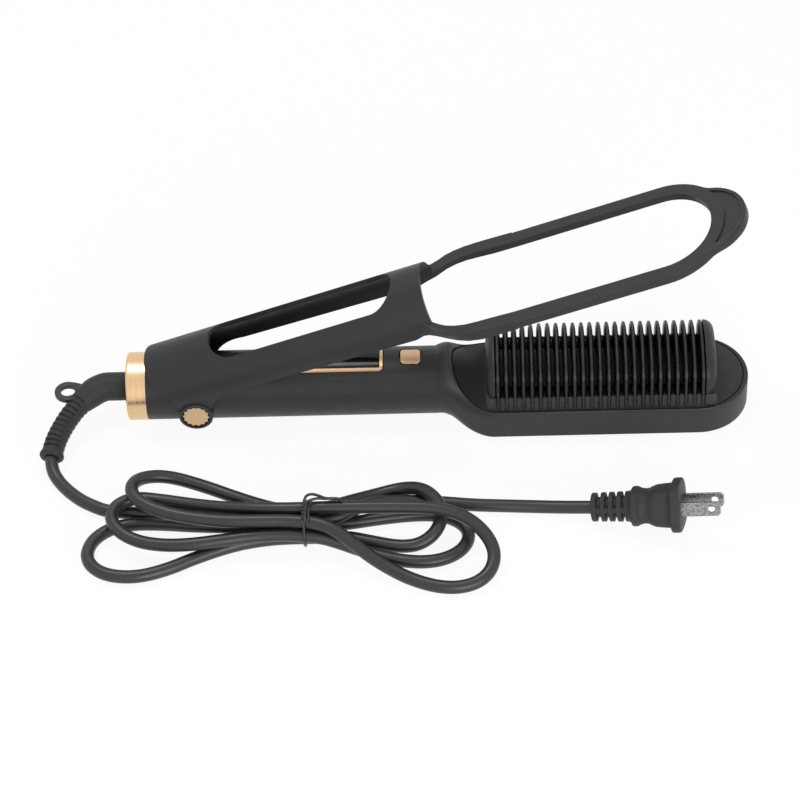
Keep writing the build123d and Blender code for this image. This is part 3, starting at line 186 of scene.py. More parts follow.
class Paint:
    """A material's node tree, with the few blocks that the surfaces here are made of."""

    def __init__(self, name, color, roughness, metallic=0.0, specular=0.5, coat=0.0):
        self.material = bpy.data.materials.new(name)
        self.material.use_nodes = True
        self.tree = self.material.node_tree
        self.shader = self.tree.nodes["Principled BSDF"]
        self.color = color
        self.roughness = roughness
        self.normal = None
        self.shader.inputs["Base Color"].default_value = (*color, 1)
        self.shader.inputs["Roughness"].default_value = roughness
        self.shader.inputs["Metallic"].default_value = metallic
        self.shader.inputs["Specular IOR Level"].default_value = specular
        self.shader.inputs["Coat Weight"].default_value = coat
        self.place = self.tree.nodes.new("ShaderNodeTexCoord").outputs["Object"]

    def noise(self, scale, detail=4.0, stretch=(1, 1, 1), turn=(0, 0, 0)):
        mapping = self.tree.nodes.new("ShaderNodeMapping")
        mapping.inputs["Scale"].default_value = stretch
        mapping.inputs["Rotation"].default_value = turn
        self.tree.links.new(self.place, mapping.inputs["Vector"])
        noise = self.tree.nodes.new("ShaderNodeTexNoise")
        noise.inputs["Scale"].default_value = scale
        noise.inputs["Detail"].default_value = detail
        self.tree.links.new(mapping.outputs["Vector"], noise.inputs["Vector"])
        return noise.outputs["Fac"]

    def ranged(self, value, low, high, source=(0.3, 0.7)):
        node = self.tree.nodes.new("ShaderNodeMapRange")
        node.inputs["From Min"].default_value = source[0]
        node.inputs["From Max"].default_value = source[1]
        node.inputs["To Min"].default_value = low
        node.inputs["To Max"].default_value = high
        self.tree.links.new(value, node.inputs["Value"])
        return node.outputs["Result"]

    def mottle(self, amount, scale, **where):
        """Let the colour drift by this share of itself."""
        mix = self.tree.nodes.new("ShaderNodeMix")
        mix.data_type = "RGBA"
        dark, pale = [mix.inputs[n] for n in MIX_COLORS]
        dark.default_value = (*[c * (1 - amount) for c in self.color], 1)
        pale.default_value = (*[min(c * (1 + amount), 1) for c in self.color], 1)
        self.tree.links.new(self.ranged(self.noise(scale, **where), 0, 1), mix.inputs[0])
        self.tree.links.new(mix.outputs[MIX_COLOR_RESULT], self.shader.inputs["Base Color"])
        return self

    def uneven(self, spread, scale, **where):
        """Let the roughness drift by this much."""
        rough = self.ranged(self.noise(scale, **where), self.roughness - spread, self.roughness + spread)
        self.tree.links.new(rough, self.shader.inputs["Roughness"])
        return self

    def bumped(self, depth, scale, strength=1.0, **where):
        """Add relief of this depth in metres."""
        bump = self.tree.nodes.new("ShaderNodeBump")
        bump.inputs["Strength"].default_value = strength
        bump.inputs["Distance"].default_value = depth
        self.tree.links.new(self.noise(scale, **where), bump.inputs["Height"])
        if self.normal is not None:
            self.tree.links.new(self.normal, bump.inputs["Normal"])
        self.normal = bump.outputs["Normal"]
        self.tree.links.new(self.normal, self.shader.inputs["Normal"])
        return self


def moulded(name, color, roughness, grain=0.00002, specular=0.5):
    """Satin moulded plastic with a fine spark-eroded grain."""
    paint = Paint(name, color, roughness, specular=specular)
    return paint.mottle(0.07, 90).uneven(0.05, 160).bumped(grain, 2600, detail=2.0).material


def brushed(name, color, roughness, stretch, depth=0.000004):
    """Gold or bare metal with brush lines, which run across the axis of the largest stretch."""
    paint = Paint(name, color, roughness, metallic=1.0)
    paint.mottle(0.06, 1, stretch=stretch, detail=6.0)
    paint.uneven(0.07, 1, stretch=stretch, detail=6.0)
    return paint.bumped(depth, 1, stretch=stretch, detail=8.0).material


RING_LINES = (6000, 40, 40)      # brush lines that run round the handle
TRIM_LINES = (60, 5000, 60)      # brush lines that run along it

paints = {
    "housing": moulded("satin_black_housing", (0.033, 0.033, 0.034), 0.46, specular=0.33),
    "comb_guard": moulded("satin_black_comb_guard", (0.027, 0.027, 0.028), 0.48, specular=0.35),
    "heater": Paint("gloss_black_heater", (0.008, 0.008, 0.0085), 0.28, specular=0.22).mottle(0.2, 300)
        .uneven(0.04, 400).bumped(0.000006, 900).material,
    "ceramic": moulded("pale_ceramic", (0.6, 0.58, 0.55), 0.6, 0.00001),
    "plain_aluminium": brushed("mill_aluminium", (0.7, 0.7, 0.71), 0.35, (60, 3000, 60)),
    "insulator": moulded("brown_insulator", (0.36, 0.3, 0.22), 0.7, 0.00003),
    "gold_metal": brushed("champagne_ring", (0.76, 0.52, 0.30), 0.27, RING_LINES),
    "gold_cap": brushed("champagne_caps", (0.58, 0.405, 0.25), 0.36, TRIM_LINES, 0.000002),
    "gold_plastic": brushed("champagne_trim", (0.66, 0.43, 0.26), 0.42, TRIM_LINES, 0.000002),
    "lens": Paint("black_display_lens", (0.004, 0.004, 0.005), 0.14, specular=0.25).mottle(0.3, 60)
        .uneven(0.015, 500).material,
    "board": moulded("green_board", (0.03, 0.16, 0.07), 0.5, 0.00001),
    "component": moulded("black_component", (0.03, 0.03, 0.03), 0.5, 0.00001),
    "steel": brushed("bright_steel", (0.56, 0.56, 0.57), 0.25, (300, 300, 300)),
    "wire_cover": moulded("wire_cover", (0.35, 0.05, 0.04), 0.45, 0.00001),
    "cord": moulded("satin_black_cord", (0.030, 0.030, 0.031), 0.34, 0.00001),
    # painted shade: a near-black paint for the sheet at the bottom of the bed's flutes, standing for the
    # shade in the grooves
    "gap": Paint("painted_groove_shade", (0.002, 0.002, 0.002), 0.8, specular=0.05).mottle(0.3, 300).material,
    "plug": moulded("matte_black_plug", (0.042, 0.042, 0.043), 0.55, 0.00002, specular=0.3),
    "tie": moulded("coated_tie_wire", (0.028, 0.028, 0.029), 0.42, 0.00001),
    "blade_metal": Paint("nickel_blades", (0.27, 0.26, 0.26), 0.28, metallic=1.0)
        .mottle(0.5, 1500, stretch=(0.6, 1, 1)).uneven(0.14, 1200).bumped(0.00003, 1300).material,
}


def painted(obj, slot, paint=None):
    """Give an object the paint of its record slot, or another paint in its stead."""
    obj.data.materials.clear()
    obj.data.materials.append(paints[paint or slot])


# Stage and light

KEY_WATTS = 3.0
KEY_SIZE = 0.35
KEY_PLACE = (-0.25, 0.35, 1.15)
FILL_WATTS = 6.0
FILL_SIZE = 0.7
FILL_PLACE = (0.35, -1.05, 0.38)
LAMP_TARGET = (0, 0, 0)
STAGE_SIZE = 8.0
FLOOR_DROP = 0.0001         # how far the floor lies under the brush
FLOOR_GREY = 0.86
FLOOR_GLOW = 0.83           # share of the floor's own light in what the camera sees of it
GLOW_STRENGTH = 1.1
ROOM_LIGHT = 0.30


def shows_background(tree):
    """1 for the rays that show the background: the camera's own, and those in gloss or glass."""
    path = tree.nodes.new("ShaderNodeLightPath")
    total = path.outputs["Is Camera Ray"]
    for kind in ("Is Glossy Ray", "Is Transmission Ray"):
        most = tree.nodes.new("ShaderNodeMath")
        most.operation = "MAXIMUM"
        tree.links.new(total, most.inputs[0])
        tree.links.new(path.outputs[kind], most.inputs[1])
        total = most.outputs[0]
    return total


def scaled(tree, value, factor):
    """A shader value times a factor."""
    times = tree.nodes.new("ShaderNodeMath")
    times.operation = "MULTIPLY"
    tree.links.new(value, times.inputs[0])
    times.inputs[1].default_value = factor
    return times.outputs[0]


def make_stage():
    """A pale floor that takes the shadow and shows white."""
    work = bmesh.new()
    bmesh.ops.create_grid(work, x_segments=2, y_segments=2, size=STAGE_SIZE / 2)
    mesh = bpy.data.meshes.new("floor")
    work.to_mesh(mesh)
    work.free()
    floor = bpy.data.objects.new("floor", mesh)
    floor.location.z = -FLOOR_DROP
    bpy.context.scene.collection.objects.link(floor)
    material = bpy.data.materials.new("pale_floor")
    material.use_nodes = True
    tree = material.node_tree
    tree.nodes.clear()
    matte = tree.nodes.new("ShaderNodeBsdfDiffuse")
    matte.inputs["Color"].default_value = (FLOOR_GREY, FLOOR_GREY, FLOOR_GREY, 1)
    glow = tree.nodes.new("ShaderNodeEmission")
    glow.inputs["Strength"].default_value = GLOW_STRENGTH
    mix = tree.nodes.new("ShaderNodeMixShader")
    tree.links.new(scaled(tree, shows_background(tree), FLOOR_GLOW), mix.inputs[0])
    tree.links.new(matte.outputs[0], mix.inputs[1])
    tree.links.new(glow.outputs[0], mix.inputs[2])
    output = tree.nodes.new("ShaderNodeOutputMaterial")
    tree.links.new(mix.outputs[0], output.inputs["Surface"])
    mesh.materials.append(material)


def make_world():
    """A white room, dimmer where it lights the brush than where it is seen."""
    world = bpy.data.worlds.new("room")
    bpy.context.scene.world = world
    world.use_nodes = True
    tree = world.node_tree
    background = tree.nodes["Background"]
    strength = tree.nodes.new("ShaderNodeMapRange")
    strength.inputs["To Min"].default_value = ROOM_LIGHT
    strength.inputs["To Max"].default_value = 1.0
    tree.links.new(shows_background(tree), strength.inputs["Value"])
    tree.links.new(strength.outputs["Result"], background.inputs["Strength"])
    background.inputs["Color"].default_value = (1, 1, 1, 1)


def make_lamp(name, watts, size, place):
    data = bpy.data.lights.new(name, "AREA")
    data.energy = watts
    data.size = size
    lamp = bpy.data.objects.new(name, data)
    lamp.location = place
    lamp.rotation_euler = (Vector(LAMP_TARGET) - Vector(place)).to_track_quat("-Z", "Y").to_euler()
    bpy.context.scene.collection.objects.link(lamp)


bpy.context.scene.view_settings.view_transform = "Standard"
make_stage()
make_world()
make_lamp("key", KEY_WATTS, KEY_SIZE, KEY_PLACE)
make_lamp("fill", FILL_WATTS, FILL_SIZE, FILL_PLACE)


# Mesh building

WELD_GAP = 0.000002         # vertices of the solid model's mesh nearer than this are one
FLAT_ANGLE = radians(0.5)   # faces that meet at less than this are joined into one


def new_piece(name, work, slot, body, replaced=(), smooth_angle=35):
    """Finish a bmesh as a piece that rides on a body and stands for the nodes it replaces."""
    bmesh.ops.recalc_face_normals(work, faces=work.faces)
    mesh = bpy.data.meshes.new(name)
    work.to_mesh(mesh)
    work.free()
    mesh.shade_smooth()
    mesh.set_sharp_from_angle(angle=radians(smooth_angle))
    piece = bpy.data.objects.new(name, mesh)
    bpy.context.scene.collection.objects.link(piece)
    painted(piece, slot)
    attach(piece, body)
    if replaced:
        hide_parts(*replaced)
    return piece


def bevelled(piece, width, segments=3, angle=35):
    """Round the piece's edges that are sharper than this angle."""
    modifier = piece.modifiers.new("edges", "BEVEL")
    modifier.width = width
    modifier.segments = segments
    modifier.limit_method = "ANGLE"
    modifier.angle_limit = radians(angle)
    modifier.harden_normals = True
    modifier.use_clamp_overlap = True
    return piece


def copied(node):
    """The node's own mesh, to be worked on."""
    work = bmesh.new()
    work.from_mesh(nodes[node].data)
    bmesh.ops.remove_doubles(work, verts=work.verts, dist=WELD_GAP)
    return work


def flats_joined(work):
    """Join neighbouring faces that are as good as flat."""
    bmesh.ops.dissolve_limit(work, angle_limit=FLAT_ANGLE, verts=work.verts, edges=work.edges)


def softened(node, width, slimmer=0.0):
    """The node's own shape with its sharp edges rounded, and slimmer by this much on every side."""
    work = copied(node)
    flats_joined(work)
    work.normal_update()
    moves = [(vertex, vertex.normal * vertex.calc_shell_factor() * slimmer) for vertex in work.verts]
    for vertex, move in moves:
        vertex.co -= move
    piece = new_piece(node + "_edged", work, slot_of_node[node], body_of_node[node], [node])
    return bevelled(piece, width, 2, 30)


def lofted(work, rings):
    """Skin rings of equally many points, closing the ends."""
    made = [[work.verts.new(point) for point in ring] for ring in rings]
    for near, far in zip(made, made[1:]):
        for n in range(len(near)):
            following = (n + 1) % len(near)
            work.faces.new((near[n], near[following], far[following], far[n]))
    for ring in (made[0], made[-1]):
        middle = work.verts.new(sum((vertex.co for vertex in ring), Vector()) / len(ring))
        for n in range(len(ring)):
            work.faces.new((ring[n], ring[(n + 1) % len(ring)], middle))


def smooth_step(value, low, high):
    """0 below low, 1 above high, and smooth between."""
    share = min(max((value - low) / (high - low), 0.0), 1.0)
    return share * share * (3 - 2 * share)


# Cord

cord = nurbs("mains_cord", [on_table(*point) for point in CORD_ROUTE], CORD_D / 2)
painted(cord, "cord")
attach(cord, "handle")
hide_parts("cord_lead", "cord_hank", "cord_tail")


# Strain relief

RELIEF_TURNS = [2 * pi * k / 64 for k in range(64)]
RELIEF_RINGS = 300
RELIEF_ROOT_X = -0.0298         # inside the handle's end cap, in part.py's own frame
ROOT_RINGS = 14
RELIEF_R = 0.0066
NARROWING = 0.0016
COLLAR_FLARE = 0.0006
TIP_ROUNDING = 0.0005
# Each pair is a span in shares of the relief's length
NARROWING_SPAN = (0.12, 0.40)
COLLAR_SPAN = (0.940, 0.965)
TIP_SPAN = (0.985, 1.0)
SLOT_SPAN = (0.30, 0.93)
SLOT_COUNT = 11
SLOT_DEPTH = 0.0007
GROOVE_DEPTH = 0.00022          # of the shallow groove that joins two slots
SLOT_SIDE = (0.42, 0.66)        # where a slot's wall lies, in shares of half the slots' pitch
SLOT_END = (0.55, 0.72)         # where a slot ends, as the sine of the turn round the relief
TIP_RINGS = ((0.0046, 0.0003), (0.0038, 0.0003), (0.0031, 0.0))     # radius, and how far past the end


def ring_frames(line):
    """Along a line of points: each point, its heading, the level direction across it and the one above."""
    frames = []
    for n, point in enumerate(line):
        heading = (line[min(n + 1, len(line) - 1)] - line[max(n - 1, 0)]).normalized()
        across = heading.cross(Vector((0, 0, 1))).normalized()
        frames.append((point, heading, across, across.cross(heading).normalized()))
    return frames


def resampled(line, count):
    """Points spaced evenly along a line of points."""
    travelled = [0.0]
    for near, far in zip(line, line[1:]):
        travelled.append(travelled[-1] + (far - near).length)
    points = []
    spot = 0
    for n in range(count):
        goal = travelled[-1] * n / (count - 1)
        while spot < len(line) - 2 and travelled[spot + 1] < goal:
            spot += 1
        step = travelled[spot + 1] - travelled[spot]
        points.append(line[spot].lerp(line[spot + 1], (goal - travelled[spot]) / step if step else 0))
    return points


def relief_radius(share, turn):
    """Radius of the relief at a share of its length, turned from its level side."""
    radius = RELIEF_R - NARROWING * smooth_step(share, *NARROWING_SPAN)
    radius += COLLAR_FLARE * smooth_step(share, *COLLAR_SPAN) - TIP_ROUNDING * smooth_step(share, *TIP_SPAN)
    pitch = (SLOT_SPAN[1] - SLOT_SPAN[0]) / SLOT_COUNT
    place = (share - SLOT_SPAN[0]) / pitch
    if 0 <= place < SLOT_COUNT:
        middle = abs(place - int(place) - 0.5) * 2
        slot = 1 - smooth_step(middle, *SLOT_SIDE)
        face = smooth_step(abs(sin(turn)), *SLOT_END)
        radius -= slot * (GROOVE_DEPTH + face * SLOT_DEPTH)
    return radius


def make_relief():
    """The moulded sleeve from the handle's end to the cord, round all its length and slotted on two faces."""
    line = resampled(centreline([placed(*point) for point in RELIEF_ROUTE]), RELIEF_RINGS)
    rings = []
    root = placed(RELIEF_ROOT_X, 0, 0)
    for n in range(ROOT_RINGS):
        start = root.lerp(line[0], n / ROOT_RINGS)
        rings.append([start + Vector((0, cos(turn), sin(turn))) * RELIEF_R for turn in RELIEF_TURNS])
    last = len(line) - 1
    frames = ring_frames(line)
    for n, (point, heading, across, above) in enumerate(frames):
        rings.append([point + (across * cos(turn) + above * sin(turn)) * relief_radius(n / last, turn)
                      for turn in RELIEF_TURNS])
    # The tip turns in towards the cord
    point, heading, across, above = frames[-1]
    for inward, onward in TIP_RINGS:
        rings.append([point + heading * onward + (across * cos(turn) + above * sin(turn)) * inward
                      for turn in RELIEF_TURNS])
    work = bmesh.new()
    lofted(work, rings)
    piece = new_piece("relief_sleeve", work, "cord", "handle", ["strain_relief"], smooth_angle=50)
    painted(piece, "cord", "plug")


EYE_CENTRE = (-0.0600, -0.0031)
EYE_R = 0.0060
EYE_HOLE_R = 0.0031
EYE_HALF_THICKNESS = 0.0013
EYE_EDGE = 0.0007
EYE_ROOT = 0.0045               # how far the eye is drawn out towards the relief
EYE_ROOT_SPAN = (-0.2, 1.0)     # where that begins and is whole, as the cosine of the turn round the eye
EYE_ROOT_SLANT = 0.25
EYE_HOLE_STRETCH = 0.08         # share of it that the hole takes part in
EYE_POINTS = 48


def make_eye():
    """The flat hanging eye on the outside of the relief's bend."""
    outer = []
    inner = []
    for n in range(EYE_POINTS):
        turn = 2 * pi * n / EYE_POINTS
        stretch = EYE_ROOT * smooth_step(cos(turn), *EYE_ROOT_SPAN)
        x = EYE_CENTRE[0] + EYE_R * cos(turn) + stretch
        y = EYE_CENTRE[1] + EYE_R * sin(turn) - stretch * EYE_ROOT_SLANT
        outer.append(placed(x, y, 0))
        x = EYE_CENTRE[0] + EYE_HOLE_R * cos(turn) + stretch * EYE_HOLE_STRETCH
        y = EYE_CENTRE[1] + EYE_HOLE_R * sin(turn)
        inner.append(placed(x, y, 0))
    work = bmesh.new()
    thick = Vector((0, 0, EYE_HALF_THICKNESS))
    loops = [[work.verts.new(p + thick) for p in outer], [work.verts.new(p - thick) for p in outer],
             [work.verts.new(p - thick) for p in inner], [work.verts.new(p + thick) for p in inner]]
    for near, far in zip(loops, loops[1:] + loops[:1]):
        for n in range(EYE_POINTS):
            following = (n + 1) % EYE_POINTS
            work.faces.new((near[n], near[following], far[following], far[n]))
    bevelled(new_piece("hanging_eye", work, "cord", "handle"), EYE_EDGE)


make_relief()
make_eye()


# Plug

PLUG_START = (0.1790, -0.0734, 0.00675)
PLUG_HEADING = radians(-7.9)
PLUG_TILT = radians(-9.0)       # its blades point up, because it rests on its flange
PLUG_ROLL = radians(-28.8)
PLUG_TURNS = [2 * pi * k / 96 for k in range(96)]
BLADE_EDGE = 0.0002
RIBBED_STEPS = 130
BODY_STEPS = 170
STATION_EASE = 0.35             # share of smoothness between two stations
SPINE_SIDE = (0.955, 0.985)     # where a spine's wall lies, as the cosine of the turn round the plug
# Sizes within the plug, in millimetres; a station is its place, half width, half height and squareness
PLUG_STATIONS = [
    (16.4, 6.9, 6.7, 2.1), (17.9, 8.0, 7.3, 2.2), (18.3, 9.7, 8.3, 2.3), (18.8, 10.1, 8.6, 2.3),
    (20.5, 10.1, 8.6, 2.3), (21.2, 9.5, 8.2, 2.4), (22.3, 8.5, 7.7, 2.6), (24.1, 7.8, 7.3, 2.9),
    (25.6, 7.9, 7.4, 3.1), (27.2, 8.7, 8.0, 3.4), (29.0, 9.3, 8.5, 3.7), (32.5, 9.5, 8.8, 3.9),
    (35.4, 9.7, 9.0, 3.9), (35.8, 10.0, 9.3, 3.6), (36.0, 12.2, 10.2, 3.2), (36.4, 12.9, 10.8, 3.2),
    (37.1, 13.2, 11.0, 3.2), (39.7, 13.2, 11.0, 3.2), (40.2, 12.9, 10.7, 3.2), (40.5, 12.1, 9.9, 3.2),
]
PLUG_TAIL = ((-0.1, 3.3), (-0.1, 5.6), (0.05, 6.15))    # place and radius where the cord enters
RIBBED_SPAN = (0.35, 16.2)
RIBBED_R = 6.4
RIBBED_GROWTH = 0.45
RIB_GAPS = ((2.2, 4.5), (6.2, 8.1), (9.9, 11.75), (13.6, 15.4))
RIB_GAP_DEPTH = 2.0
RIB_SOFT = 0.35
SPINE_HEIGHT = 1.5              # of the two spines that join the ribs


def squared(half_width, half_height, power, turn):
    """A point of a section between an ellipse, at power 2, and a rectangle, at a high power."""
    across, above = cos(turn), sin(turn)
    reach = (abs(across) ** power + abs(above) ** power) ** (-1 / power)
    return half_width * reach * across, half_height * reach * above


def ribbed_radius(x, turn):
    """Radius of the plug's ribbed tail."""
    radius = RIBBED_R + RIBBED_GROWTH * x / PLUG_STATIONS[0][0]
    for start, end in RIB_GAPS:
        slot = smooth_step(x, start, start + RIB_SOFT) * (1 - smooth_step(x, end - RIB_SOFT, end))
        spine = smooth_step(abs(cos(turn)), *SPINE_SIDE)
        radius -= slot * (RIB_GAP_DEPTH - SPINE_HEIGHT * spine)
    return radius


def blended_stations(x):
    """Half width, half height and squareness of the plug's body at this place."""
    for near, far in zip(PLUG_STATIONS, PLUG_STATIONS[1:]):
        if x <= far[0]:
            straight = (x - near[0]) / (far[0] - near[0])
            share = smooth_step(x, near[0], far[0]) * STATION_EASE + straight * (1 - STATION_EASE)
            return [a + (b - a) * share for a, b in zip(near[1:], far[1:])]
    return PLUG_STATIONS[-1][1:]


def spaced(first, last, steps):
    """Evenly spaced values from the first to the last."""
    return [first + (last - first) * n / steps for n in range(steps + 1)]


def make_plug():
    """The plug's moulding in one: ribbed tail, grip and flange."""
    place = Matrix.Translation(on_table(*PLUG_START)) @ Matrix.Rotation(PLUG_HEADING, 4, "Z")
    place = place @ Matrix.Rotation(PLUG_TILT, 4, "Y") @ Matrix.Rotation(PLUG_ROLL, 4, "X")
    rings = []

    def ring(x, points):
        rings.append([place @ Vector((x * MM, y * MM, z * MM)) for y, z in points])

    for x, radius in PLUG_TAIL:
        ring(x, [(radius * cos(turn), radius * sin(turn)) for turn in PLUG_TURNS])
    for x in spaced(*RIBBED_SPAN, RIBBED_STEPS):
        radii = [ribbed_radius(x, turn) for turn in PLUG_TURNS]
        ring(x, [(radius * cos(turn), radius * sin(turn)) for radius, turn in zip(radii, PLUG_TURNS)])
    for x in spaced(PLUG_STATIONS[0][0], PLUG_STATIONS[-1][0], BODY_STEPS):
        half_width, half_height, power = blended_stations(x)
        ring(x, [squared(half_width, half_height, power, turn) for turn in PLUG_TURNS])
    work = bmesh.new()
    lofted(work, rings)
    piece = new_piece("plug_moulding", work, "cord", "handle", ["plug_body"], smooth_angle=50)
    painted(piece, "cord", "plug")
    return piece


plug = make_plug()
blades = softened("plug_blades", BLADE_EDGE)


# Tie

TIE_X = 0.0514
TIE_WIRE_R = 0.00064
TIE_BEND_POINTS = 40            # round each strand that the band may touch
TWIST_START_Y = -0.0885         # near end of the two twisted ends
TWIST_END_Y = -0.0803
TWIST_TURNS = 2.25
TWIST_R = 0.0007
TWIST_LIFT = 1.6                # height of the twist's middle over the band, in shares of its radius
TWIST_LEAN = 0.0003
TWIST_STEPS = 60
TWIST_ROOT = (0.0001, -0.0004, -0.0001)     # from the band at the twist's near end
# The wire that lies beside the twist
RETURN_X = 0.0535
RETURN_FROM = (0.0009, -0.0003)             # from the band at the twist's near end
RETURN_TO = (0.0010, 0.0014)                # from its own line at the far end
RETURN_SHIFT_Y = 0.0006
RETURN_LIFT = 0.0002
RETURN_END_LIFT = 0.0007
RETURN_STEPS = 6
LOOP_POINTS = [
    (0.0517, -0.0788, 0.0216), (0.0526, -0.0762, 0.0217), (0.0550, -0.0753, 0.0216),
    (0.0582, -0.0764, 0.0215), (0.0609, -0.0779, 0.0212), (0.0643, -0.0777, 0.0210),
    (0.0670, -0.0777, 0.0208), (0.0679, -0.0786, 0.0202),
]
TAIL_POINTS = [
    (0.0522, -0.0797, 0.0214), (0.0537, -0.0791, 0.0212), (0.0557, -0.0780, 0.0211),
    (0.0579, -0.0774, 0.0209), (0.0608, -0.0774, 0.0205), (0.0643, -0.0770, 0.0202),
    (0.0668, -0.0770, 0.0200), (0.0676, -0.0779, 0.0195),
]


def crossing_points(line, x):
    """Where a line of points passes a plane across the brush, as points of that plane."""
    found = []
    for near, far in zip(line, line[1:]):
        if (near.x - x) * (far.x - x) < 0:
            share = (x - near.x) / (far.x - near.x)
            spot = near.lerp(far, share)
            found.append((spot.y, spot.z))
    return found


def hull(points):
    """The outline round a set of flat points."""
    points = sorted(points)
    halves = []
    for ordered in (points, points[::-1]):
        chain = []
        for p in ordered:
            while len(chain) > 1 and ((chain[-1][0] - chain[-2][0]) * (p[1] - chain[-2][1])
                                      <= (chain[-1][1] - chain[-2][1]) * (p[0] - chain[-2][0])):
                chain.pop()
            chain.append(p)
        halves.append(chain[:-1])
    return halves[0] + halves[1]


def tie_outline():
    """Y and Z round the cord's bundle where the tie holds it."""
    line = centreline([on_table(*point) for point in CORD_ROUTE])
    reach = CORD_D / 2 + TIE_WIRE_R
    turns = [2 * pi * n / TIE_BEND_POINTS for n in range(TIE_BEND_POINTS)]
    strands = crossing_points(line, TIE_X + SHIFT_X)
    return hull([(y + reach * cos(turn), z + reach * sin(turn)) for y, z in strands for turn in turns])


def make_band(outline):
    """The wire round the bundle, which follows the table where the bundle lies on it."""
    data = bpy.data.curves.new("tie_band", "CURVE")
    data.dimensions = "3D"
    data.bevel_depth = TIE_WIRE_R
    data.bevel_resolution = 4
    spline = data.splines.new("POLY")
    spline.points.add(len(outline) - 1)
    for control, (y, z) in zip(spline.points, outline):
        control.co = (TIE_X + SHIFT_X, y, max(z, TIE_WIRE_R), 1)
    spline.use_cyclic_u = True
    band = bpy.data.objects.new("tie_band", data)
    bpy.context.scene.collection.objects.link(band)
    painted(band, "tie")
    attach(band, "handle")
    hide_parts("twist_tie")
    return band


def tie_wire(name, points):
    """One of the tie's free wires."""
    wire = nurbs(name, points, TIE_WIRE_R)
    painted(wire, "tie")
    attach(wire, "handle")
    return wire


def make_tie():
    """Wire round the bundle, its two ends twisted on top and led off as a loop and a tail."""
    outline = tie_outline()
    middle = sum(z for y, z in outline) / len(outline)
    upper = sorted(point for point in outline if point[1] > middle)

    def on_top(y):
        """Height of a wire that lies on the bundle at this place across."""
        for near, far in zip(upper, upper[1:]):
            if near[0] <= y <= far[0]:
                return near[1] + (far[1] - near[1]) * (y - near[0]) / (far[0] - near[0])
        return upper[-1][1]

    wires = [make_band(outline)]
    near_height = on_top(TWIST_START_Y)
    for name, ends, phase in (("tie_loop", LOOP_POINTS, 0.0), ("tie_tail", TAIL_POINTS, pi)):
        x, y, lift = TWIST_ROOT
        points = [on_table(TIE_X + x, TWIST_START_Y + y, near_height + lift)]
        for n in range(TWIST_STEPS + 1):
            share = n / TWIST_STEPS
            turn = phase + 2 * pi * TWIST_TURNS * share
            x = TIE_X + TWIST_LEAN * share + TWIST_R * cos(turn)
            y = TWIST_START_Y + (TWIST_END_Y - TWIST_START_Y) * share
            points.append(on_table(x, y, on_top(y) + TWIST_R * (TWIST_LIFT + sin(turn))))
        wires.append(tie_wire(name, points + [on_table(*point) for point in ends]))
    x, y = TIE_X + RETURN_FROM[0], TWIST_START_Y + RETURN_FROM[1]
    side = [on_table(x, y, near_height + RETURN_LIFT)]
    for n in range(RETURN_STEPS + 1):
        y = TWIST_START_Y + RETURN_SHIFT_Y + (TWIST_END_Y - TWIST_START_Y) * n / RETURN_STEPS
        side.append(on_table(RETURN_X, y, on_top(y) + RETURN_LIFT))
    x, y = RETURN_X + RETURN_TO[0], TWIST_END_Y + RETURN_TO[1]
    side.append(on_table(x, y, on_top(TWIST_END_Y) + RETURN_END_LIFT))
    wires.append(tie_wire("tie_return", side))
    return wires


tie_wires = make_tie()


# Comb

TOOTH_COUNT = 25
TOOTH_FIRST_X = 0.13827
TOOTH_PITCH = 0.003871
TOOTH_HALF_WIDTH = 0.0190
TOOTH_SPRING_Z = 0.0132
TOOTH_TOP_Z = 0.0237
CAD_TOOTH_HALF = 0.00062        # just over half a tooth's thickness in the solid model
CAD_TOOTH_FACING = 0.9          # a tooth's flat sides face along the brush by at least this
TOOTH_WIDTH = 0.00112
TOOTH_DEPTH = 0.0013
TOOTH_SQUARENESS = 3.2
TOOTH_SECTION_POINTS = 10
FOOT_SIZES = (0.35, 0.8)        # sizes of a foot's two end sections, in shares of the whole one
FOOT_END_Z = 0.00105
FOOT_STEPS = 8
FLARE_STEPS = 6
ARCH_STEPS = 18

BED_TOP_Z = 0.0060
BED_FOOT = (0.02095, 0.0006)    # the bed's side, as Y and Z of its foot and its top
BED_SHOULDER = (0.0194, 0.0060)
BED_FLOOR_Z = 0.0008            # a face of the solid model that reaches lower isn't a tooth's
BED_EDGE = 0.0003
BED_TOP_MARGIN = 0.00002        # how far above the bed's top a tooth's face lies at least
BED_SIDE_MARGIN = 0.0001        # how deep in the bed's side a tooth's face lies at most

SIDE_PROUD = 0.00060            # how proud of the bed's side its fluted slab stands
SIDE_SUNK = 0.0002              # how far the slab's back is inside the bed
SIDE_EDGE = 0.00012
SIDE_START_X = TOOTH_FIRST_X - 0.0019
SIDE_END_MARGIN = 0.0003
SIDE_FOOT_Z = BED_FOOT[1] - 0.0004
SIDE_CORNER = 0.0006
FOOT_PROUD = 0.00005            # how proud of the slab the feet stand
FLUTE_HALF_WIDTH = 0.00112
FLUTE_END_Z = 0.00060
HUMP_TOP_Z = 0.0066             # top of the humps between the flutes
HUMP_R = 0.00055                # of a hump's two rounded corners
STRIP_INSET = 0.0003            # of the near-black strip at the bottom of the flutes, which is painted shade for the deep narrow grooves
STRIP_PROUD = 0.00006
STRIP_SUNK = 0.0001

HEATER_TOP_Z = 0.00612
HEATER_PLATE_Z = 0.0046         # underside of the plate
HEATER_HALF_WIDTH = 0.01945
HEATER_SPAN = (0.13705, 0.23245)
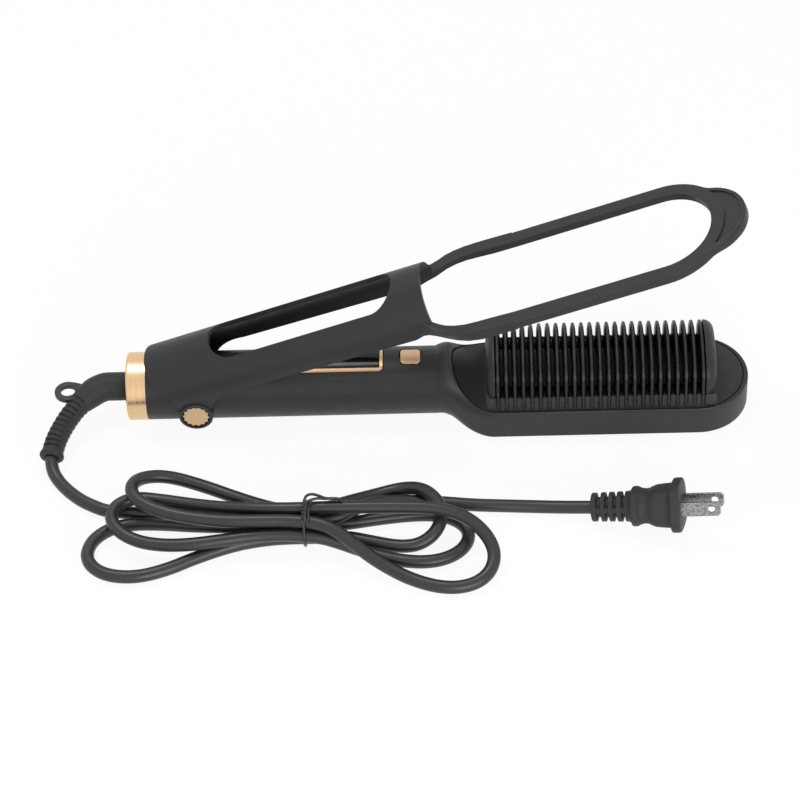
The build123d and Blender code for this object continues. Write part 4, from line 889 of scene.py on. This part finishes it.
# Two corners of the block under the plate
HEATER_BLOCK = ((0.1378, -0.0166, -0.0012), (0.2317, 0.0166, 0.0050))
HEATER_EDGE = 0.0001
FIN_WEDGE = ((0.0002, 0.00125), (0.0008, 0.00170), (0.0018, 0.00220), (0.0034, 0.00250))  # depth, width
FIN_WIDTH = 0.0027
FIN_FOOT = ((0.0055, 0.0012), (0.0062, 0.0012), (0.0064, 0.0006), (0.0068, 0.0002))  # height, added width
FIN_STEPS = 44
TUNNEL_HALF_WIDTH = 0.0123
TUNNEL_FOOT_Z = 0.0070
TUNNEL_RISE = 0.0120
TUNNEL_SQUARENESS = 3.0


def tooth_places():
    """X of every tooth's middle, as in part.py."""
    return [TOOTH_FIRST_X + n * TOOTH_PITCH for n in range(TOOTH_COUNT)]


def on_bed_side(z):
    """How far from the middle the bed's side is at this height."""
    share = (z - BED_FOOT[1]) / (BED_SHOULDER[1] - BED_FOOT[1])
    return BED_FOOT[0] + (BED_SHOULDER[0] - BED_FOOT[0]) * share


def on_arch(turn):
    """Y and Z on the outer arch of a tooth, turned from its far spring."""
    return TOOTH_HALF_WIDTH * cos(turn), TOOTH_SPRING_Z + (TOOTH_TOP_Z - TOOTH_SPRING_Z) * sin(turn)


def tooth_line():
    """Y and Z along a tooth's outer edge, from its near foot over the crown to its far one."""
    proud = SIDE_PROUD + FOOT_PROUD
    line = [(-(on_bed_side(z) + proud), z) for z in spaced(FOOT_END_Z, BED_TOP_Z, FOOT_STEPS)]
    flare = on_bed_side(BED_TOP_Z) + proud - TOOTH_HALF_WIDTH
    for n in range(1, FLARE_STEPS):
        z = BED_TOP_Z + (TOOTH_SPRING_Z - BED_TOP_Z) * n / FLARE_STEPS
        line.append((-(TOOTH_HALF_WIDTH + flare * (1 - smooth_step(n / FLARE_STEPS, 0, 1))), z))
    for turn in spaced(0, pi / 2, ARCH_STEPS):
        y, z = on_arch(turn)
        line.append((-y, z))
    return line + [(-y, z) for y, z in reversed(line[:-1])]


def make_teeth():
    """The thin plastic band over each heated fin, with its two rounded feet."""
    line = [Vector((0, y, z)) for y, z in tooth_line()]
    last = len(line) - 1
    sections = []
    for n, point in enumerate(line):
        heading = (line[min(n + 1, last)] - line[max(n - 1, 0)]).normalized()
        inward = Vector((1, 0, 0)).cross(heading)
        sizes = {0: FOOT_SIZES, last: FOOT_SIZES[::-1]}.get(n, (1.0,))
        for size in sizes:
            shift = heading * TOOTH_WIDTH / 2 * (1 - size) * (-1 if n == 0 else 1)
            sections.append((point - inward * TOOTH_DEPTH / 2 + shift, inward, size))
    work = bmesh.new()
    for x in tooth_places():
        rings = []
        for middle, inward, size in sections:
            ring = []
            for k in range(TOOTH_SECTION_POINTS):
                turn = 2 * pi * (k + 0.5) / TOOTH_SECTION_POINTS
                across, deep = squared(TOOTH_WIDTH / 2, TOOTH_DEPTH / 2, TOOTH_SQUARENESS, turn)
                ring.append(placed(x, 0, 0) + middle + Vector((across * size, 0, 0)) + inward * deep)
            rings.append(ring)
        lofted(work, rings)
    new_piece("comb_teeth", work, "comb_guard", "handle", smooth_angle=50)


def arc(x, z, radius, start, sweep, steps):
    """Points of an arc in a plane along the brush."""
    turns = [start + sweep * n / steps for n in range(steps + 1)]
    return [(x + radius * cos(turn), z + radius * sin(turn)) for turn in turns]


def fluted_outline(start, end):
    """X and Z round the slab: a round-ended slot at each tooth, and a rounded hump between two slots."""
    outline = [(start, SIDE_FOOT_Z), (end, SIDE_FOOT_Z), (end, HUMP_TOP_Z - SIDE_CORNER)]
    corner_z = HUMP_TOP_Z - HUMP_R
    for place in reversed(tooth_places()):
        x = placed(place, 0, 0).x
        right = x + FLUTE_HALF_WIDTH
        left = x - FLUTE_HALF_WIDTH
        if right < end - HUMP_R:
            outline += arc(right + HUMP_R, corner_z, HUMP_R, pi / 2, pi / 2, 3)
        outline += arc(x, FLUTE_END_Z + FLUTE_HALF_WIDTH, FLUTE_HALF_WIDTH, 0, -pi, 8)
        if left > start + HUMP_R:
            outline += arc(left - HUMP_R, corner_z, HUMP_R, 0, pi / 2, 3)
    return outline + [(start, HUMP_TOP_Z - SIDE_CORNER)]


def slab(outline, side, layers):
    """A slab with this outline in X and Z along a side of the bed, from one layer to another."""
    work = bmesh.new()
    front, back = [[work.verts.new((x, side * (on_bed_side(z) + proud), z + AXIS_HEIGHT)) for x, z in outline]
                   for proud in layers]
    for n in range(len(outline)):
        following = (n + 1) % len(outline)
        work.faces.new((front[n], front[following], back[following], back[n]))
    work.faces.new(front)
    work.faces.new(back)
    return work


def make_fluted_side(side):
    """The slab on a side of the bed, fluted so that each tooth's foot lies in a round-ended slot."""
    name = "near" if side < 0 else "far"
    start = placed(SIDE_START_X, 0, 0).x
    end = placed(tooth_places()[-1] + FLUTE_HALF_WIDTH + SIDE_END_MARGIN, 0, 0).x
    work = slab(fluted_outline(start, end), side, (SIDE_PROUD, -SIDE_SUNK))
    bmesh.ops.triangulate(work, faces=[face for face in work.faces if len(face.verts) > 4])
    # A near-black sheet at the bottom of the flutes: painted shade for the narrow grooves
    low, high = start + STRIP_INSET, end - STRIP_INSET
    corners = [(low, BED_FOOT[1]), (high, BED_FOOT[1]), (high, BED_TOP_Z), (low, BED_TOP_Z)]
    strip = slab(corners, side, (STRIP_PROUD, -STRIP_SUNK))
    painted(new_piece("flute_shade_sheet_" + name, strip, "heater", "handle"), "heater", "gap")
    bevelled(new_piece("bed_side_" + name, work, "comb_guard", "handle", smooth_angle=40), SIDE_EDGE, 2, 50)


def in_a_tooth(face, centres):
    """Whether a face of the solid model's comb cover is part of a tooth and not of the bed."""
    spots = [vertex.co for vertex in face.verts]
    within = any(all(abs(spot.x - centre) < CAD_TOOTH_HALF for spot in spots) for centre in centres)
    if not within or min(spot.z for spot in spots) <= placed(0, 0, BED_FLOOR_Z).z:
        return False
    middle = face.calc_center_median()
    above = middle.z > placed(0, 0, BED_TOP_Z).z + BED_TOP_MARGIN
    outside = abs(middle.y) > on_bed_side(middle.z - AXIS_HEIGHT) - BED_SIDE_MARGIN
    return above or outside or abs(face.normal.x) > CAD_TOOTH_FACING


def make_bed():
    """The comb's cover from the solid model, without its teeth, whose places are closed."""
    work = copied("comb_cover")
    centres = [placed(x, 0, 0).x for x in tooth_places()]
    teeth = [face for face in work.faces if in_a_tooth(face, centres)]
    bmesh.ops.delete(work, geom=teeth, context="FACES")
    bmesh.ops.holes_fill(work, edges=[edge for edge in work.edges if edge.is_boundary], sides=0)
    flats_joined(work)
    bevelled(new_piece("comb_bed", work, "comb_guard", "handle", ["comb_cover"]), BED_EDGE, 3, 30)


def box(work, low, high):
    """A plain block between two corners, given as in part.py."""
    low, high = placed(*low), placed(*high)
    made = bmesh.ops.create_cube(work, size=1.0)["verts"]
    for vertex in made:
        vertex.co = Vector([a + (b - a) * (c + 0.5) for a, b, c in zip(low, high, vertex.co)])


def fin_lines():
    """Outer and inner edge of a fin, and what is added to its width, from foot to foot."""
    turns = [pi * n / FIN_STEPS for n in range(FIN_STEPS + 1)]
    stations = [(0, foot) for foot in FIN_FOOT] + [(turn, None) for turn in turns]
    stations += [(pi, foot) for foot in reversed(FIN_FOOT)]
    lines = []
    for turn, foot in stations:
        outer = Vector((0, *on_arch(turn)))
        inner = Vector((0, *squared(TUNNEL_HALF_WIDTH, TUNNEL_RISE, TUNNEL_SQUARENESS, turn)))
        inner.z += TUNNEL_FOOT_Z
        added = 0.0
        if foot:
            outer.z = inner.z = foot[0]
            added = foot[1]
        lines.append((outer, inner, added))
    return lines


def make_heater():
    """The black cast comb: a plate filling the bed, and a wedge-shaped fin inside each tooth."""
    work = bmesh.new()
    start, end = HEATER_SPAN
    box(work, (start, -HEATER_HALF_WIDTH, HEATER_PLATE_Z), (end, HEATER_HALF_WIDTH, HEATER_TOP_Z))
    box(work, *HEATER_BLOCK)
    for x in tooth_places():
        rings = []
        for outer, inner, added in fin_lines():
            deep = (inner - outer).length
            half = [(outer.lerp(inner, depth / deep), width + added) for depth, width in FIN_WEDGE]
            half.append((inner, FIN_WIDTH + added))
            ring = [placed(x + width / 2, 0, 0) + point for point, width in half]
            ring += [placed(x - width / 2, 0, 0) + point for point, width in reversed(half)]
            rings.append(ring)
        lofted(work, rings)
    piece = new_piece("heated_comb", work, "heater", "handle", ["heater_comb"], smooth_angle=60)
    bevelled(piece, HEATER_EDGE, 2, 70)


make_teeth()
make_fluted_side(-1)
make_fluted_side(1)
make_bed()
make_heater()


# CAD nodes

FRAME_EDGE = 0.0002
FRAME_GAP = 0.00026             # the dark gap round the display's frame
BUTTON_EDGE = 0.0003
BUTTON_GAP = 0.00015
EDGES = {
    "housing_front": 0.00025, "housing_back": 0.00025,
    "arm_shell": 0.0005, "display_lens": 0.00015,
    "pivot_cap_near": 0.00025, "pivot_cap_far": 0.00025, "end_cap": 0.0002,
}
for node, width in EDGES.items():
    piece = softened(node, width)
    if node.startswith("pivot_cap"):
        painted(piece, slot_of_node[node], "gold_cap")
softened("display_frame", FRAME_EDGE, slimmer=FRAME_GAP)
softened("power_button", BUTTON_EDGE, slimmer=BUTTON_GAP)
for node, obj in nodes.items():
    painted(obj, slot_of_node[node])
